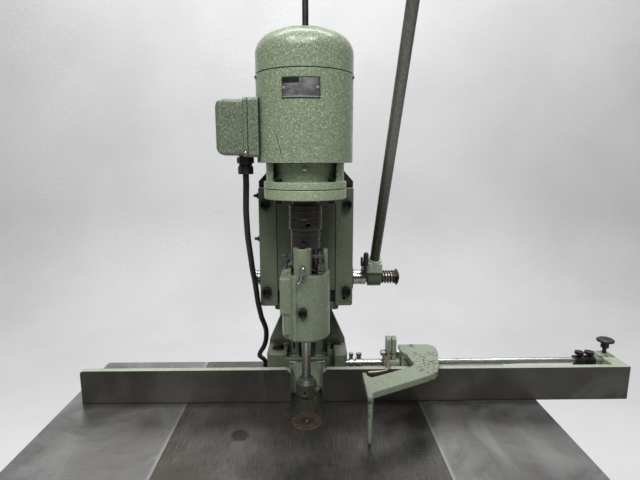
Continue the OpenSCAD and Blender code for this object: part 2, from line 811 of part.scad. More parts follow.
module dome(r, corner, z0, z1) {
    translate([0, 0, z0]) cylinder(r = r, h = z1 - corner - z0);
    translate([0, 0, z1 - corner - 1]) cylinder(r = r - corner, h = corner + 1);
    translate([0, 0, z1 - corner]) rotate_extrude() intersection() {
        translate([r - corner, 0]) circle(corner);
        square([r, corner]);
    }
}

module motor_screws() color(steel) at_table() {
    cowl_screw_places() round_screw(4, 6.8);
    translate([0, -lantern_core, 465]) to_front() round_screw(5, 6);
    box_screw_places() round_screw(2.8, 12);
}

// Screws that hold the terminal box's cover, front and back
module box_screw_places() {
    for (a = [90, -90]) translate([-93, a > 0 ? -box_d / 2 : box_d / 2, 490])
        rotate([a, 0, 0]) children();
}

// Blank rating plate with a dark block, bent to the housing, and its two rivets
module nameplate() color(steel) at_table() translate([0, 0, 569]) {
    intersection() {
        ring(motor_r + 1.2, motor_r, 30);
        block(-33, 24, -100, 0, 0, 30);
    }
    intersection() {
        ring(motor_r + 1.6, motor_r + 1.2, 30);
        block(-32, -7, -100, 0, 21.5, 28.5);
    }
    for (x = [-30, 20.5]) translate([x, -sqrt(motor_r * motor_r - x * x) - 0.6, 15]) to_front()
        cylinder(r = 1.8, h = 1.9);
}

// ---- Terminal box and cable ----

// Box block from x0 (left) to x1, with round edges along X
module box_block(x0, x1, w, h, r) {
    translate([x0, 0, box_z]) rotate([90, 0, 90]) linear_extrude(x1 - x0) round_rect(w, h, r);
}

module terminal_box_base() color(green) at_table() difference() {
    union() {
        box_block(-88.5, -72, box_d, box_h, 6);
        box_block(-76, -64, 52, 64, 8);
    }
    translate([0, 0, frame_z]) cylinder(r = motor_r + 0.01, h = 150);
    box_block(-89.5, -80, box_d - 8, box_h - 8, 4);
}

module terminal_box_cover() color(green) at_table() difference() {
    union() {
        box_block(-96, -89, box_d, box_h, 6);
        translate([-100, 0, gland_top]) cylinder(r = 10.9, h = 5);
        difference() {
            box_block(-141, -95, box_d - 5, box_h - 5, 7);
            for (s = [0, 1]) translate([-141, 0, box_z]) mirror([0, 0, s]) {
                translate([0, -60, (box_h - 5) / 2]) corner_cut(16, 120);
                rotate([90, 0, 0]) translate([0, -60, (box_d - 5) / 2]) corner_cut(12, 120);
                rotate([-90, 0, 0]) translate([0, -60, (box_d - 5) / 2]) corner_cut(12, 120);
            }
        }
    }
    box_block(-137, -88, box_d - 13, box_h - 13, 4);
    box_screw_places() translate([0, 0, -20]) cylinder(r = 1.45, h = 21);
    translate([-100, 0, 470]) cylinder(r = 8, h = 20);
}

// Rounds the corner at the origin that faces -X and +Z, along +Y
module corner_cut(r, length) difference() {
    translate([-eps, 0, -r]) cube([r + eps, length, r + eps]);
    translate([r, -eps, -r]) rotate([-90, 0, 0]) cylinder(r = r, h = length + 2 * eps);
}

module terminal_block() color(black) at_table() {
    block(-88, -80, -26, 26, 515, 545);
    for (y = [-18, 0, 18], z = [522, 538]) translate([-88, y, z]) rotate([0, -90, 0])
        cylinder(r = 2.5, h = 10);
}

module cable_gland() color(black) at_table() translate([-100, 0, 0]) difference() {
    union() {
        translate([0, 0, gland_top - 10]) cylinder(r = 14.5, h = 10, $fn = 6);
        translate([0, 0, gland_bottom + 6]) cylinder(r = 11, h = 14);
        translate([0, 0, gland_bottom]) cylinder(r = 13, h = 13, $fn = 6);
        translate([0, 0, gland_top - 1]) cylinder(r = 7.9, h = 12);
    }
    translate([0, 0, gland_bottom + 3]) cylinder(r = 4, h = 60);
}

module motor_cable() color(black) at_table() tube_along(cable_points, cable_r, 10, [1, 0, 0]);

// ---- Drill head ----

// Barrel with its bracket to the slide, the box boss on the left and the screw boss in front
module head_casting() color(green) at_table() difference() {
    union() {
        translate([0, 0, barrel_bottom + 4]) cylinder(r = barrel_r, h = barrel_top - barrel_bottom - 4);
        translate([0, 0, barrel_bottom]) cylinder(r1 = barrel_r - 3, r2 = barrel_r, h = 4);
        block(-34, 34, 20, strip_front + 0.5, 232, barrel_top - 2);
        block(-20, 20, 20, strip_front + 0.5, 190, 240);
        // box boss on the left, with a shoulder above and a rib below
        block(-44, -22, -34, 20, 218, 281);
        translate([-44, 20, 281]) to_front() linear_extrude(50)
            polygon([[0, -1], [20, -1], [20, 16], [9, 14]]);
        translate([-30.5, -24, barrel_bottom + 11]) cylinder(r = 8, h = 44);
        // upright bead beside the box boss
        translate([-18, -37.5, barrel_bottom + 3]) cylinder(r = 5, h = barrel_top - barrel_bottom - 4);
        // screw boss standing on the barrel's front rim, cut back round the spindle sleeve
        translate([boss_x, boss_y, barrel_top - 8]) cylinder(r = 15.5, h = boss_top - barrel_top + 8);
        block(30, 38, -14, 10, barrel_top - 1, 326);
    }
    translate([0, 0, barrel_top - 4]) cylinder(r = 27.5, h = 60);
    translate([0, 0, barrel_bottom - eps]) cylinder(r = 20, h = 130);
    translate([boss_x, -20, lock_z]) to_front() cylinder(r = 5.1, h = 40);
    translate([boss_x, 0.9 - barrel_r, lock_z]) to_front() cylinder(r = 7.8, h = 10);
    translate([boss_x, -36, 306]) cylinder(r = 3.6, h = 40);
    translate([boss_x, -33.5, clamp_z]) to_front() cylinder(r = 4.05, h = 40);
    translate([-33, -14, 285]) cylinder(r = 2.6, h = 30);
    translate([-21, -24, barrel_bottom - eps]) cylinder(r = 2.1, h = 20);
    translate([stud_x, stud_y, barrel_top - 20]) cylinder(r = 3.1, h = 30);
}

module head_screws() color(black) at_table() {
    translate([boss_x, 0.9 - barrel_r, lock_z]) to_front() socket_screw(10, 21.5);
    translate([boss_x, -36, boss_top]) socket_screw(7, 24);
    translate([-21, -24, barrel_bottom - 16]) cylinder(r = 2, h = 22);
}

// Stop bar and its stud on the barrel's right, and the wing screw on the left shoulder
module stop_stud() color(steel) at_table() {
    translate([stud_x, stud_y, barrel_top - 20]) cylinder(r = 3, h = 60);
    for (z = [barrel_top, barrel_top + 7, barrel_top + 13])
        translate([stud_x, stud_y, z]) cylinder(r = 6.4, h = 5.5, $fn = 6);
    block(10.9, 33, -31, -24, 317, 322);
    translate([-33, -14, 286]) {
        cylinder(r = 2.5, h = 36);
        translate([0, 0, 20]) cylinder(r = 5.2, h = 6);
        translate([-8, -1.2, 24]) cube([16, 2.4, 9]);
    }
}

// Bearings: two in the motor, two in the head
module bearings() color(steel) at_table() {
    translate([0, 0, 451]) ring(23, motor_shaft_r + run_fit, 12);
    translate([0, 0, 600]) ring(22, motor_shaft_r + run_fit, 12);
    translate([0, 0, 600]) ring(motor_r - 7.1, 22.1, 6);
    for (z = [barrel_bottom + 6, 262]) translate([0, 0, z]) ring(20, spindle_r + run_fit, 14);
}

// T-handled clamp screw at the foot of the screw boss
module head_clamp() color(steel) at_table() translate([boss_x, -46, clamp_z]) {
    to_front() {
        translate([0, 0, -12]) cylinder(r = 4, h = 20);
        translate([0, 0, 4]) cylinder(r = 5.5, h = 10);
    }
    translate([0, -9, 0]) rotate([0, 18, 0]) {
        translate([0, 0, -20]) cylinder(r = 2.2, h = 26);
        translate([0, 0, 6]) sphere(3.6);
        translate([0, 0, -20]) sphere(3.2);
    }
}

module coupling() color(dark_steel) at_table() difference() {
    union() {
        translate([0, 0, 404]) cylinder(r = 24, h = 7);
        translate([0, 0, 383]) cylinder(r = 29, h = 21);
        translate([0, 0, 381]) cylinder(r = 28, h = 3);
        translate([0, 0, 362]) cylinder(r = 29, h = 19);
        translate([0, 0, 296]) cylinder(r = 26, h = 67);
    }
    translate([0, 0, 405.9]) cylinder(r = motor_shaft_r, h = 10);
    translate([0, 0, 290]) cylinder(r = spindle_r, h = 90);
    rotate([0, 0, 9]) translate([0, -10, 371]) to_front() cylinder(r = 3.5, h = 30);
}

module spindle() color(steel) at_table() {
    translate([0, 0, 84]) cylinder(r = spindle_r, h = 296);
    translate([0, 0, barrel_bottom + 21]) cylinder(r = 12, h = 6);
}

module chuck() color(dark_green) at_table() difference() {
    union() {
        translate([0, 0, 47]) cylinder(r1 = 12, r2 = 19, h = 9);
        translate([0, 0, 56]) cylinder(r = 19, h = 21);
        translate([0, 0, 77]) cylinder(r1 = 19, r2 = 14, h = 8);
        translate([12, 0, 64]) rotate([0, 90, -35]) cylinder(r = 7.5, h = 16);
    }
    translate([0, 0, 84]) cylinder(r = spindle_r, h = 10);
    translate([0, 0, 40]) cylinder(d = tool_bore_d, h = 40);
    translate([-3, 0, 63]) to_front() cylinder(r = 2.8, h = 30);
}

// ---- Flip stop ----

// Split clamp collar on the rail with two upright ears
module stop_carriage() color(green) at_table() difference() {
    union() {
        translate([158.5, rail_y, rail_z]) to_right() cylinder(r = 13, h = 34);
        for (x = [163.5, 175.5]) {
            block(x, x + 9, rail_y - 10, rail_y + 8, rail_z + 6, rail_z + 49);
            translate([x, rail_y - 1, rail_z + 49]) to_right() cylinder(r = 9, h = 9);
        }
    }
    translate([150, rail_y, rail_z]) to_right() cylinder(r = rail_r + run_fit, h = 60);
    translate([150, rail_y - 3, clamp_screw_z]) to_right() cylinder(r = 4.05, h = 60);
    block(172.5, 175.5, rail_y - 20, rail_y + 20, rail_z + 8, rail_z + 60);
}

// C-shaped arm that flips up about the rail, with the stop face on its nose
module stop_arm() color(green) at_table() difference() {
    top = 88;
    t = 12;
    union() {
        translate([0, 0, top - t]) linear_extrude(t)
            polygon([
                [stop_left, 104], [stop_left, 140], [258, 140], [268, 134], [272, 124], [270, 96],
                [254, 36], [249, 20], [239, 7], [221, -4], [113, -62], [113, -77], [104, -77],
                [104, 12], [111, 12], [113, 0], [119, -7], [190, 30], [203, 38], [209, 47], [203, 93]
            ]);
        translate([stop_left, rail_y, rail_z]) to_right() cylinder(r = 15, h = stop_right - stop_left);
        block(stop_left, stop_right, rail_y - 14, rail_y + 14, rail_z, top - t + 1);
        translate([222, 131, top - 1]) cylinder(r = 3.5, h = 4);
    }
    translate([150, rail_y, rail_z]) to_right() cylinder(r = rail_r + run_fit, h = 200);
    translate([108.5, -74, top - t - 5]) cylinder(r = 2.5, h = 12);
}

module stop_finger() color(green) at_table() translate([108.5, -74, 0]) {
    translate([0, 0, 69]) cylinder(r = 4.6, h = 7);
    translate([0, 0, 66]) cylinder(r = 3.8, h = 4);
    translate([0, 0, 2]) cylinder(r1 = 3, r2 = 4.5, h = 64);
    translate([0, 0, 75]) cylinder(r = 2.5, h = 8);
}

// Clamp screw through the ears, with its bent rod handle
module stop_clamp() color([0.45, 0.36, 0.33]) at_table() {
    y0 = rail_y - 3;
    translate([152.5, y0, clamp_screw_z]) to_right() cylinder(r = 4, h = 38);
    translate([184.8, y0, clamp_screw_z]) to_right() cylinder(r = 7.5, h = 6.5, $fn = 6);
    translate([153.5, y0, clamp_screw_z]) to_right() cylinder(r = 6, h = 9.6);
    tube_along([
        [157, 107, 83], [159, 98, 81], [161, 86, 79], [162, 72, 77.5], [162, 58, 76.5],
        [159, 48, 76], [152, 42, 76], [142, 39, 76], [130, 37, 76], [118, 36, 76]
    ], 2.8, 10, [1, 0, 0]);
}

pedestal();
table_centre();
table_wing_left();
table_wing_right();
table_insert();
fence();
foot_bracket();
hex_bolts();
column();
column_cap();
keeper_strip_left();
keeper_strip_right();
socket_screws();
gib_strip();
gib_screws();
shaft_bushes();
stop_rail();
switch_box();
switch_knob();
left_collars();
right_collars();
end_knob();
slide_plate();
feed_rack();
spring_rod();
return_spring();
motor_bracket();
motor_endshield();
flange_bolts();
motor_frame();
stator();
fan_cowl();
motor_screws();
nameplate();
terminal_box_base();
terminal_box_cover();
terminal_block();
cable_gland();
motor_cable();
head_casting();
head_screws();
stop_stud();
bearings();
head_clamp();
rotor();
cooling_fan();
coupling();
spindle();
chuck();
pinion_shaft();
lever_hub();
lever_tube();
lever_knob();
index_pin();
hub_spring();
spring_cap();
stop_carriage();
stop_arm();
stop_finger();
stop_clamp();
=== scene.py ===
"""Looks of the floor-standing dowel drilling machine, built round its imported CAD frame.
Metres, Z up, front towards -Y."""

import json
import math
from functools import reduce

import bmesh
import bpy
import numpy as np
from mathutils import Matrix, Vector, noise

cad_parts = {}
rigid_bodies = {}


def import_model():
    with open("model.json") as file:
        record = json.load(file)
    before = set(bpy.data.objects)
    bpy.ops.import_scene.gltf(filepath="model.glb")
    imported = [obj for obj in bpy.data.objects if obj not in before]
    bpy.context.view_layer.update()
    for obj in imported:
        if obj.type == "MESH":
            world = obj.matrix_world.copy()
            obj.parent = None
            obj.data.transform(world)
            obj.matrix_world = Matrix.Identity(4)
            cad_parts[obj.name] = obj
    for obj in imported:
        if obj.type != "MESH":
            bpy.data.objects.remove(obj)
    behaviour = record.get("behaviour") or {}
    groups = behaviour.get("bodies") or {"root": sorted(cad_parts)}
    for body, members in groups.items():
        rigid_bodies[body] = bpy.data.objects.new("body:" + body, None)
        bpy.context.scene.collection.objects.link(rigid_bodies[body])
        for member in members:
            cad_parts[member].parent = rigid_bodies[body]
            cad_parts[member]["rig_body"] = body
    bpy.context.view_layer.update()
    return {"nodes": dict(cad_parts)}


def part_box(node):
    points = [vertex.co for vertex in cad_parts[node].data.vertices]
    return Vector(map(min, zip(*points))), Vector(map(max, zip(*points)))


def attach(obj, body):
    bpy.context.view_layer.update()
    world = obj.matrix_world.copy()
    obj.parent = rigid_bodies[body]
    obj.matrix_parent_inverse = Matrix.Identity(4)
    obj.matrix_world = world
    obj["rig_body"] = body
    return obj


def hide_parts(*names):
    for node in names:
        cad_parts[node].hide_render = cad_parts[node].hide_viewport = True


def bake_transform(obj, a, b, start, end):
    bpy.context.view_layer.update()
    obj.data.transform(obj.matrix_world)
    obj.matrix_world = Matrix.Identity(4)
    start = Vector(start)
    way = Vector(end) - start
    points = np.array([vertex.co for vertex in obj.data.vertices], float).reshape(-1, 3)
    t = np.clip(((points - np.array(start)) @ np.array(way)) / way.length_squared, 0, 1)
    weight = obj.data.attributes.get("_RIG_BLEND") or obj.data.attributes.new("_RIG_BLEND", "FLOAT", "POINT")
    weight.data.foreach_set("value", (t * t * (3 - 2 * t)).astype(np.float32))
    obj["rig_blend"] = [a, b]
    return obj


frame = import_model()
nodes = frame["nodes"]
scene = bpy.context.scene

TABLE_Z = 0.9
TABLE_SEAM_LEFT = -0.2371
TABLE_SEAM_RIGHT = 0.2235


def at_table(x, y, z):
    """A point given in millimetres above the table top, in metres above the floor."""
    return Vector((x / 1000, y / 1000, z / 1000 + TABLE_Z))


# ---- Camera ----

CAMERA_PLACE = (0.0108, -0.768, 1.380)
CAMERA_YAW = -1.06
CAMERA_DOWN = 10.2
LENS_MM = 25.3
SENSOR_MM = 36

camera = bpy.data.objects.new("camera", bpy.data.cameras.new("camera"))
scene.collection.objects.link(camera)
camera.data.sensor_width = SENSOR_MM
camera.data.lens = LENS_MM
camera.data.clip_start, camera.data.clip_end = 0.05, 30
camera.matrix_world = (
    Matrix.Translation(CAMERA_PLACE)
    @ Matrix.Rotation(math.radians(CAMERA_YAW), 4, "Z")
    @ Matrix.Rotation(math.radians(90 - CAMERA_DOWN), 4, "X")
)
scene.camera = camera


# ---- Materials ----


GREEN = (0.305, 0.368, 0.245)
# Dark oil, also used as the shade painted into the enamel's corners and recesses.
OIL_AND_SHADE = (0.030, 0.030, 0.022)
# Near black for grime and for the shade painted into the recesses of bare steel.
GRIME_AND_SHADE = (0.012, 0.011, 0.009)
SHADOW = (0.012, 0.012, 0.009)
RUST_SPOT = (0.055, 0.028, 0.016)
RUBBED_ENAMEL = (0.62, 0.65, 0.56)
RUBBED_BLACK = (0.11, 0.105, 0.095)
DUST = (0.075, 0.072, 0.062)
CHIPPED_IRON = (0.035, 0.030, 0.024)


def shade(colour, *factors):
    """The colour times one factor, or times one for each channel, and never over 1."""
    each = factors if len(factors) == 3 else factors * 3
    return tuple(min(1, v * k) for v, k in zip(colour, each))


class Finish:
    """One node material. Each short call adds nodes and returns the socket that carries the result.
    Lengths are in metres. A mask is 1 where it applies and 0 elsewhere."""

    def __init__(self, name):
        self.mat = bpy.data.materials.new(name)
        self.mat.use_nodes = True
        self.tree = self.mat.node_tree
        self.tree.nodes.clear()
        self.shader = self.add("ShaderNodeBsdfPrincipled", {})
        self.add("ShaderNodeOutputMaterial", {0: self.shader.outputs[0]})
        coords = self.add("ShaderNodeTexCoord", {}).outputs
        self.place = coords["Object"]
        self.xyz = self.add("ShaderNodeSeparateXYZ", {0: self.place}).outputs
        self.facing = self.add("ShaderNodeSeparateXYZ", {0: coords["Normal"]}).outputs

    def put(self, socket, value):
        """Links a socket to another one, or sets its value. A colour has three values."""
        if isinstance(value, bpy.types.NodeSocket):
            self.tree.links.new(value, socket)
        elif socket.type == "RGBA":
            socket.default_value = (*value, 1)
        else:
            socket.default_value = value

    def add(self, kind, inputs, **props):
        n = self.tree.nodes.new(kind)
        for k, v in props.items():
            setattr(n, k, v)
        for k, v in inputs.items():
            self.put(n.inputs[k], v)
        return n

    def noise(self, scale, detail=3, rough=0.55, warp=0, at=None):
        values = {"Vector": at or self.place, "Scale": scale, "Detail": detail}
        values.update({"Roughness": rough, "Distortion": warp})
        return self.add("ShaderNodeTexNoise", values).outputs["Fac"]

    def waver(self, size, scale, detail=3, rough=0.55):
        """Noise about zero, size from its lowest to its highest."""
        return self.times(self.minus(self.noise(scale, detail, rough), 0.5), size)

    def dimples(self, scale, smoothness):
        values = {"Vector": self.place, "Scale": scale, "Smoothness": smoothness}
        return self.add("ShaderNodeTexVoronoi", values, feature="SMOOTH_F1").outputs["Distance"]

    def stretch(self, x, y, z, turn=(0, 0, 0)):
        """The place with each axis scaled, for noise that is finer along some than along others."""
        values = {"Vector": self.place, "Rotation": [math.radians(a) for a in turn], "Scale": (x, y, z)}
        return self.add("ShaderNodeMapping", values).outputs[0]

    def calc(self, op, a, b=0.0):
        return self.add("ShaderNodeMath", {0: a, 1: b}, operation=op).outputs[0]

    def plus(self, a, b):
        return self.calc("ADD", a, b)

    def minus(self, a, b):
        return self.calc("SUBTRACT", a, b)

    def times(self, a, b):
        return self.calc("MULTIPLY", a, b)

    def all_of(self, *masks):
        return reduce(self.times, masks)

    def any_of(self, *masks):
        return reduce(lambda a, b: self.calc("MAXIMUM", a, b), masks)

    def span(self, value, low, high, to_low=0.0, to_high=1.0, soft=True):
        """Maps low..high to to_low..to_high, held at both ends."""
        kind = "SMOOTHSTEP" if soft else "LINEAR"
        values = {0: value, 1: low, 2: high, 3: to_low, 4: to_high}
        return self.add("ShaderNodeMapRange", values, interpolation_type=kind).outputs[0]

    def mix(self, mask, a, b):
        """Colour a, with colour b where the mask is 1."""
        n = self.add("ShaderNodeMix", {"Factor": mask}, data_type="RGBA")
        for socket, value in zip([s for s in n.inputs if s.type == "RGBA"], (a, b)):
            self.put(socket, value)
        return next(s for s in n.outputs if s.type == "RGBA")

    def band(self, axis, low, high, soft=0.0004):
        """Mask of what lies between low and high along one axis."""
        up = self.span(self.xyz[axis], low - soft, low + soft)
        down = self.span(self.xyz[axis], high - soft, high + soft, 1, 0)
        return self.times(up, down)

    def spot(self, x, y, radius, ragged=0.3):
        """Mask of a ragged round patch of a level face."""
        dx = self.minus(self.xyz[0], x)
        dy = self.minus(self.xyz[1], y)
        far = self.calc("SQRT", self.plus(self.times(dx, dx), self.times(dy, dy)))
        far = self.plus(far, self.waver(ragged * radius * 4, 70, 4, 0.6))
        return self.span(far, 0.75 * radius, 1.25 * radius, 1, 0)

    def hollow(self, distance):
        """Mask of corners and recesses, where the finishes paint shade along with grime."""
        n = self.add("ShaderNodeAmbientOcclusion", {"Distance": distance}, samples=6)
        return self.span(n.outputs["AO"], 0.35, 1, 1, 0)

    def rim(self, distance):
        """Mask of outer edges."""
        values = {"Distance": distance}
        n = self.add("ShaderNodeAmbientOcclusion", values, samples=6, inside=True, only_local=True)
        return self.span(n.outputs["AO"], 0.3, 0.98, 1, 0, soft=False)

    def bump(self, height, strength, depth, under=None):
        n = self.add("ShaderNodeBump", {"Height": height, "Strength": strength, "Distance": depth})
        if under is not None:
            self.put(n.inputs["Normal"], under)
        return n.outputs[0]

    def done(self, colour, rough, metal, normal, **sockets):
        """Sets the shader's sockets and returns the material."""
        values = {"Base Color": colour, "Roughness": rough, "Metallic": metal, "Normal": normal}
        values.update({k.replace("_", " "): v for k, v in sockets.items()})
        for k, v in values.items():
            self.put(self.shader.inputs[k], v)
        return self.mat


def paint(name, colour, hammer=1.0, chips=0.5, dirt_and_shade=0.6, gloss=0.36, bare=CHIPPED_IRON, marks=None, lines=None,
          reach=0.0045, polish=0.0):
    """Hammer-finish machine enamel: dimpled, chipped along its edges, grimy in its corners and darkened there
    with painted shade.
    marks(f) gives a mask of extra bare spots, and lines(f) one of seams painted as dark shadow lines. reach is
    how far in from an edge it chips, and polish how far the edges are rubbed pale."""
    f = Finish(name)
    blotch = f.noise(38, 4, 0.6)
    dimples = f.dimples(330, 0.3)
    flecks = f.span(f.noise(270, 2, 0.7), 0.60, 0.70, 0, 0.55 * hammer)
    grain = f.span(f.noise(380, 2, 0.7), 0.55, 0.68, 0, 0.75 * hammer)
    broad = f.span(f.noise(7), 0.32, 0.7)
    base = f.mix(broad, shade(colour, 0.90, 0.92, 0.88), shade(colour, 1.08, 1.06, 1.08))
    base = f.mix(f.span(dimples, 0.16, 0.62, 0, 0.80 * hammer), base, shade(colour, 0.56, 0.58, 0.56))
    base = f.mix(flecks, base, shade(colour, 0.45))
    base = f.mix(grain, base, shade(colour, 1.85, 1.80, 1.90))

    # Painted shade with grime: corners and recesses darkened from the hollow mask, in blotches.
    grime_and_shade = f.times(f.span(f.hollow(0.018), 0.02, 0.75), f.span(blotch, 0.25, 0.6, 0.45, 1))
    smear = f.span(f.noise(16, 5, 0.65, 0.6), 0.56, 0.78, 0, 0.38 * dirt_and_shade)
    soil_and_shade = f.any_of(f.times(grime_and_shade, dirt_and_shade), smear)
    base = f.mix(soil_and_shade, base, OIL_AND_SHADE)
    if polish:
        rubbed = f.plus(f.rim(0.0024), f.waver(1.2, 55, 4, 0.6))
        base = f.mix(f.span(rubbed, 0.62, 0.95, 0, polish), base, RUBBED_ENAMEL)

    first_pit = 0.735 - 0.06 * chips
    first_chip = 1.16 - 0.46 * chips
    pits = f.span(f.noise(240, 2, 0.5), first_pit, first_pit + 0.03)
    ragged = f.plus(f.rim(reach), f.waver(1.9, 170, 4, 0.7))
    bald = f.any_of(f.span(ragged, first_chip, first_chip + 0.08), pits)
    if marks is not None:
        bald = f.any_of(bald, marks(f))
    base = f.mix(bald, base, f.mix(f.span(f.noise(90, 2), 0.4, 0.6), bare, shade(bare, 2.2)))
    # Painted shadow: the seam lines are darkened to SHADOW.
    if lines is not None:
        base = f.mix(lines(f), base, SHADOW)

    rough = f.span(blotch, 0.3, 0.7, gloss - 0.06, gloss + 0.10)
    rough = f.plus(rough, f.times(f.any_of(soil_and_shade, bald), 0.25))
    height = f.minus(f.times(dimples, -0.8 * hammer), f.times(bald, 0.6))
    normal = f.bump(height, 0.42, 0.0007, f.bump(blotch, 0.25, 0.0012))
    return f.done(base, rough, 0.0, normal, Coat_Weight=0.18, Coat_Roughness=0.22)


def steel(name, colour, rough=0.28, brush=(1, 60, 60), stain=0.35, rust=0.2, fine=26, bump=0.12):
    """Bare machined steel. brush is how much finer the tool marks are along each axis."""
    f = Finish(name)
    streaks = f.noise(fine, 3, 0.6, at=f.stretch(*brush))
    base = f.mix(f.span(streaks, 0.3, 0.72), shade(colour, 0.80), shade(colour, 1.16, 1.16, 1.15))
    dull = f.span(f.noise(14, 4, 0.6), 0.48, 0.72, 0, stain)
    base = f.mix(dull, base, shade(colour, 0.34, 0.30, 0.26))
    first_spot = 0.66 - 0.1 * rust
    spots = f.span(f.noise(130, 4, 0.7), first_spot, first_spot + 0.08, 0, min(1, 0.25 + rust))
    base = f.mix(spots, base, RUST_SPOT)
    # Painted shade with grime: recesses darkened nearly black.
    grime_and_shade = f.times(f.hollow(0.008), 0.75)
    base = f.mix(grime_and_shade, base, GRIME_AND_SHADE)
    metal = f.span(f.any_of(spots, grime_and_shade), 0.1, 0.9, 1, 0.35)
    shine = f.span(streaks, 0.3, 0.7, rough - 0.06, rough + 0.08)
    shine = f.plus(shine, f.times(f.any_of(dull, spots), 0.22))
    return f.done(base, shine, metal, f.bump(streaks, bump, 0.0006))


def black(name, colour, rough=0.42, worn=0.5, metal=0.0):
    """Black oxide, black enamel or moulded black plastic, rubbed on its edges."""
    f = Finish(name)
    cloud = f.noise(60, 4, 0.6)
    base = f.mix(f.span(cloud, 0.35, 0.7), shade(colour, 0.7), shade(colour, 1.9, 1.85, 1.75))
    rubbed = f.plus(f.rim(0.002), f.waver(1.4, 260, 3, 0.6))
    rubbed = f.span(rubbed, 1.15 - 0.5 * worn, 1.5 - 0.5 * worn, 0, 0.8)
    base = f.mix(rubbed, base, RUBBED_BLACK)
    dust = f.times(f.span(f.facing[2], 0.3, 1.0, 0, 0.28), f.span(f.noise(30, 3), 0.4, 0.65))
    base = f.mix(dust, base, DUST)
    shine = f.plus(f.span(cloud, 0.3, 0.7, rough - 0.08, rough + 0.1), f.times(dust, 0.5))
    return f.done(base, shine, metal, f.bump(f.noise(900, 2, 0.6), 0.12, 0.0004))


def flange_seam(f):
    """Shadow line between the motor's flange and its end shield."""
    return f.band(2, TABLE_Z + 0.4313, TABLE_Z + 0.4327, 0.0003)


def cowl_seam(f):
    """Shadow line between the fan cowl and the motor's housing."""
    return f.band(2, TABLE_Z + 0.6095, TABLE_Z + 0.6135, 0.0006)


def arm_wear(f):
    """Chipped patches on the stop arm's bend and along its outer lower edge."""
    bend = f.band(0, 0.212, 0.275, 0.012)
    chips = f.span(f.noise(150, 4, 0.7), 0.56, 0.60)
    scuffs = f.span(f.noise(75, 3, 0.6), 0.60, 0.64)
    return f.all_of(f.any_of(chips, scuffs), bend, f.band(1, -0.03, 0.100, 0.012))


def box_seam(f):
    """Shadow line between the terminal box's base and its cover."""
    return f.band(0, -0.0893, -0.0883, 0.0003)


def motor_scratch(f):
    """A thin upright scratch low on the housing's front."""
    lean = f.times(f.minus(f.xyz[2], TABLE_Z + 0.502), 0.22)
    across = f.plus(f.plus(f.plus(f.xyz[0], lean), 0.0385), f.waver(0.003, 60, 2))
    line = f.span(f.calc("ABSOLUTE", across), 0.0003, 0.0010, 1, 0)
    in_front = f.span(f.facing[1], -0.2, 0, 1, 0)
    return f.all_of(line, f.band(2, TABLE_Z + 0.488, TABLE_Z + 0.517, 0.002), in_front)


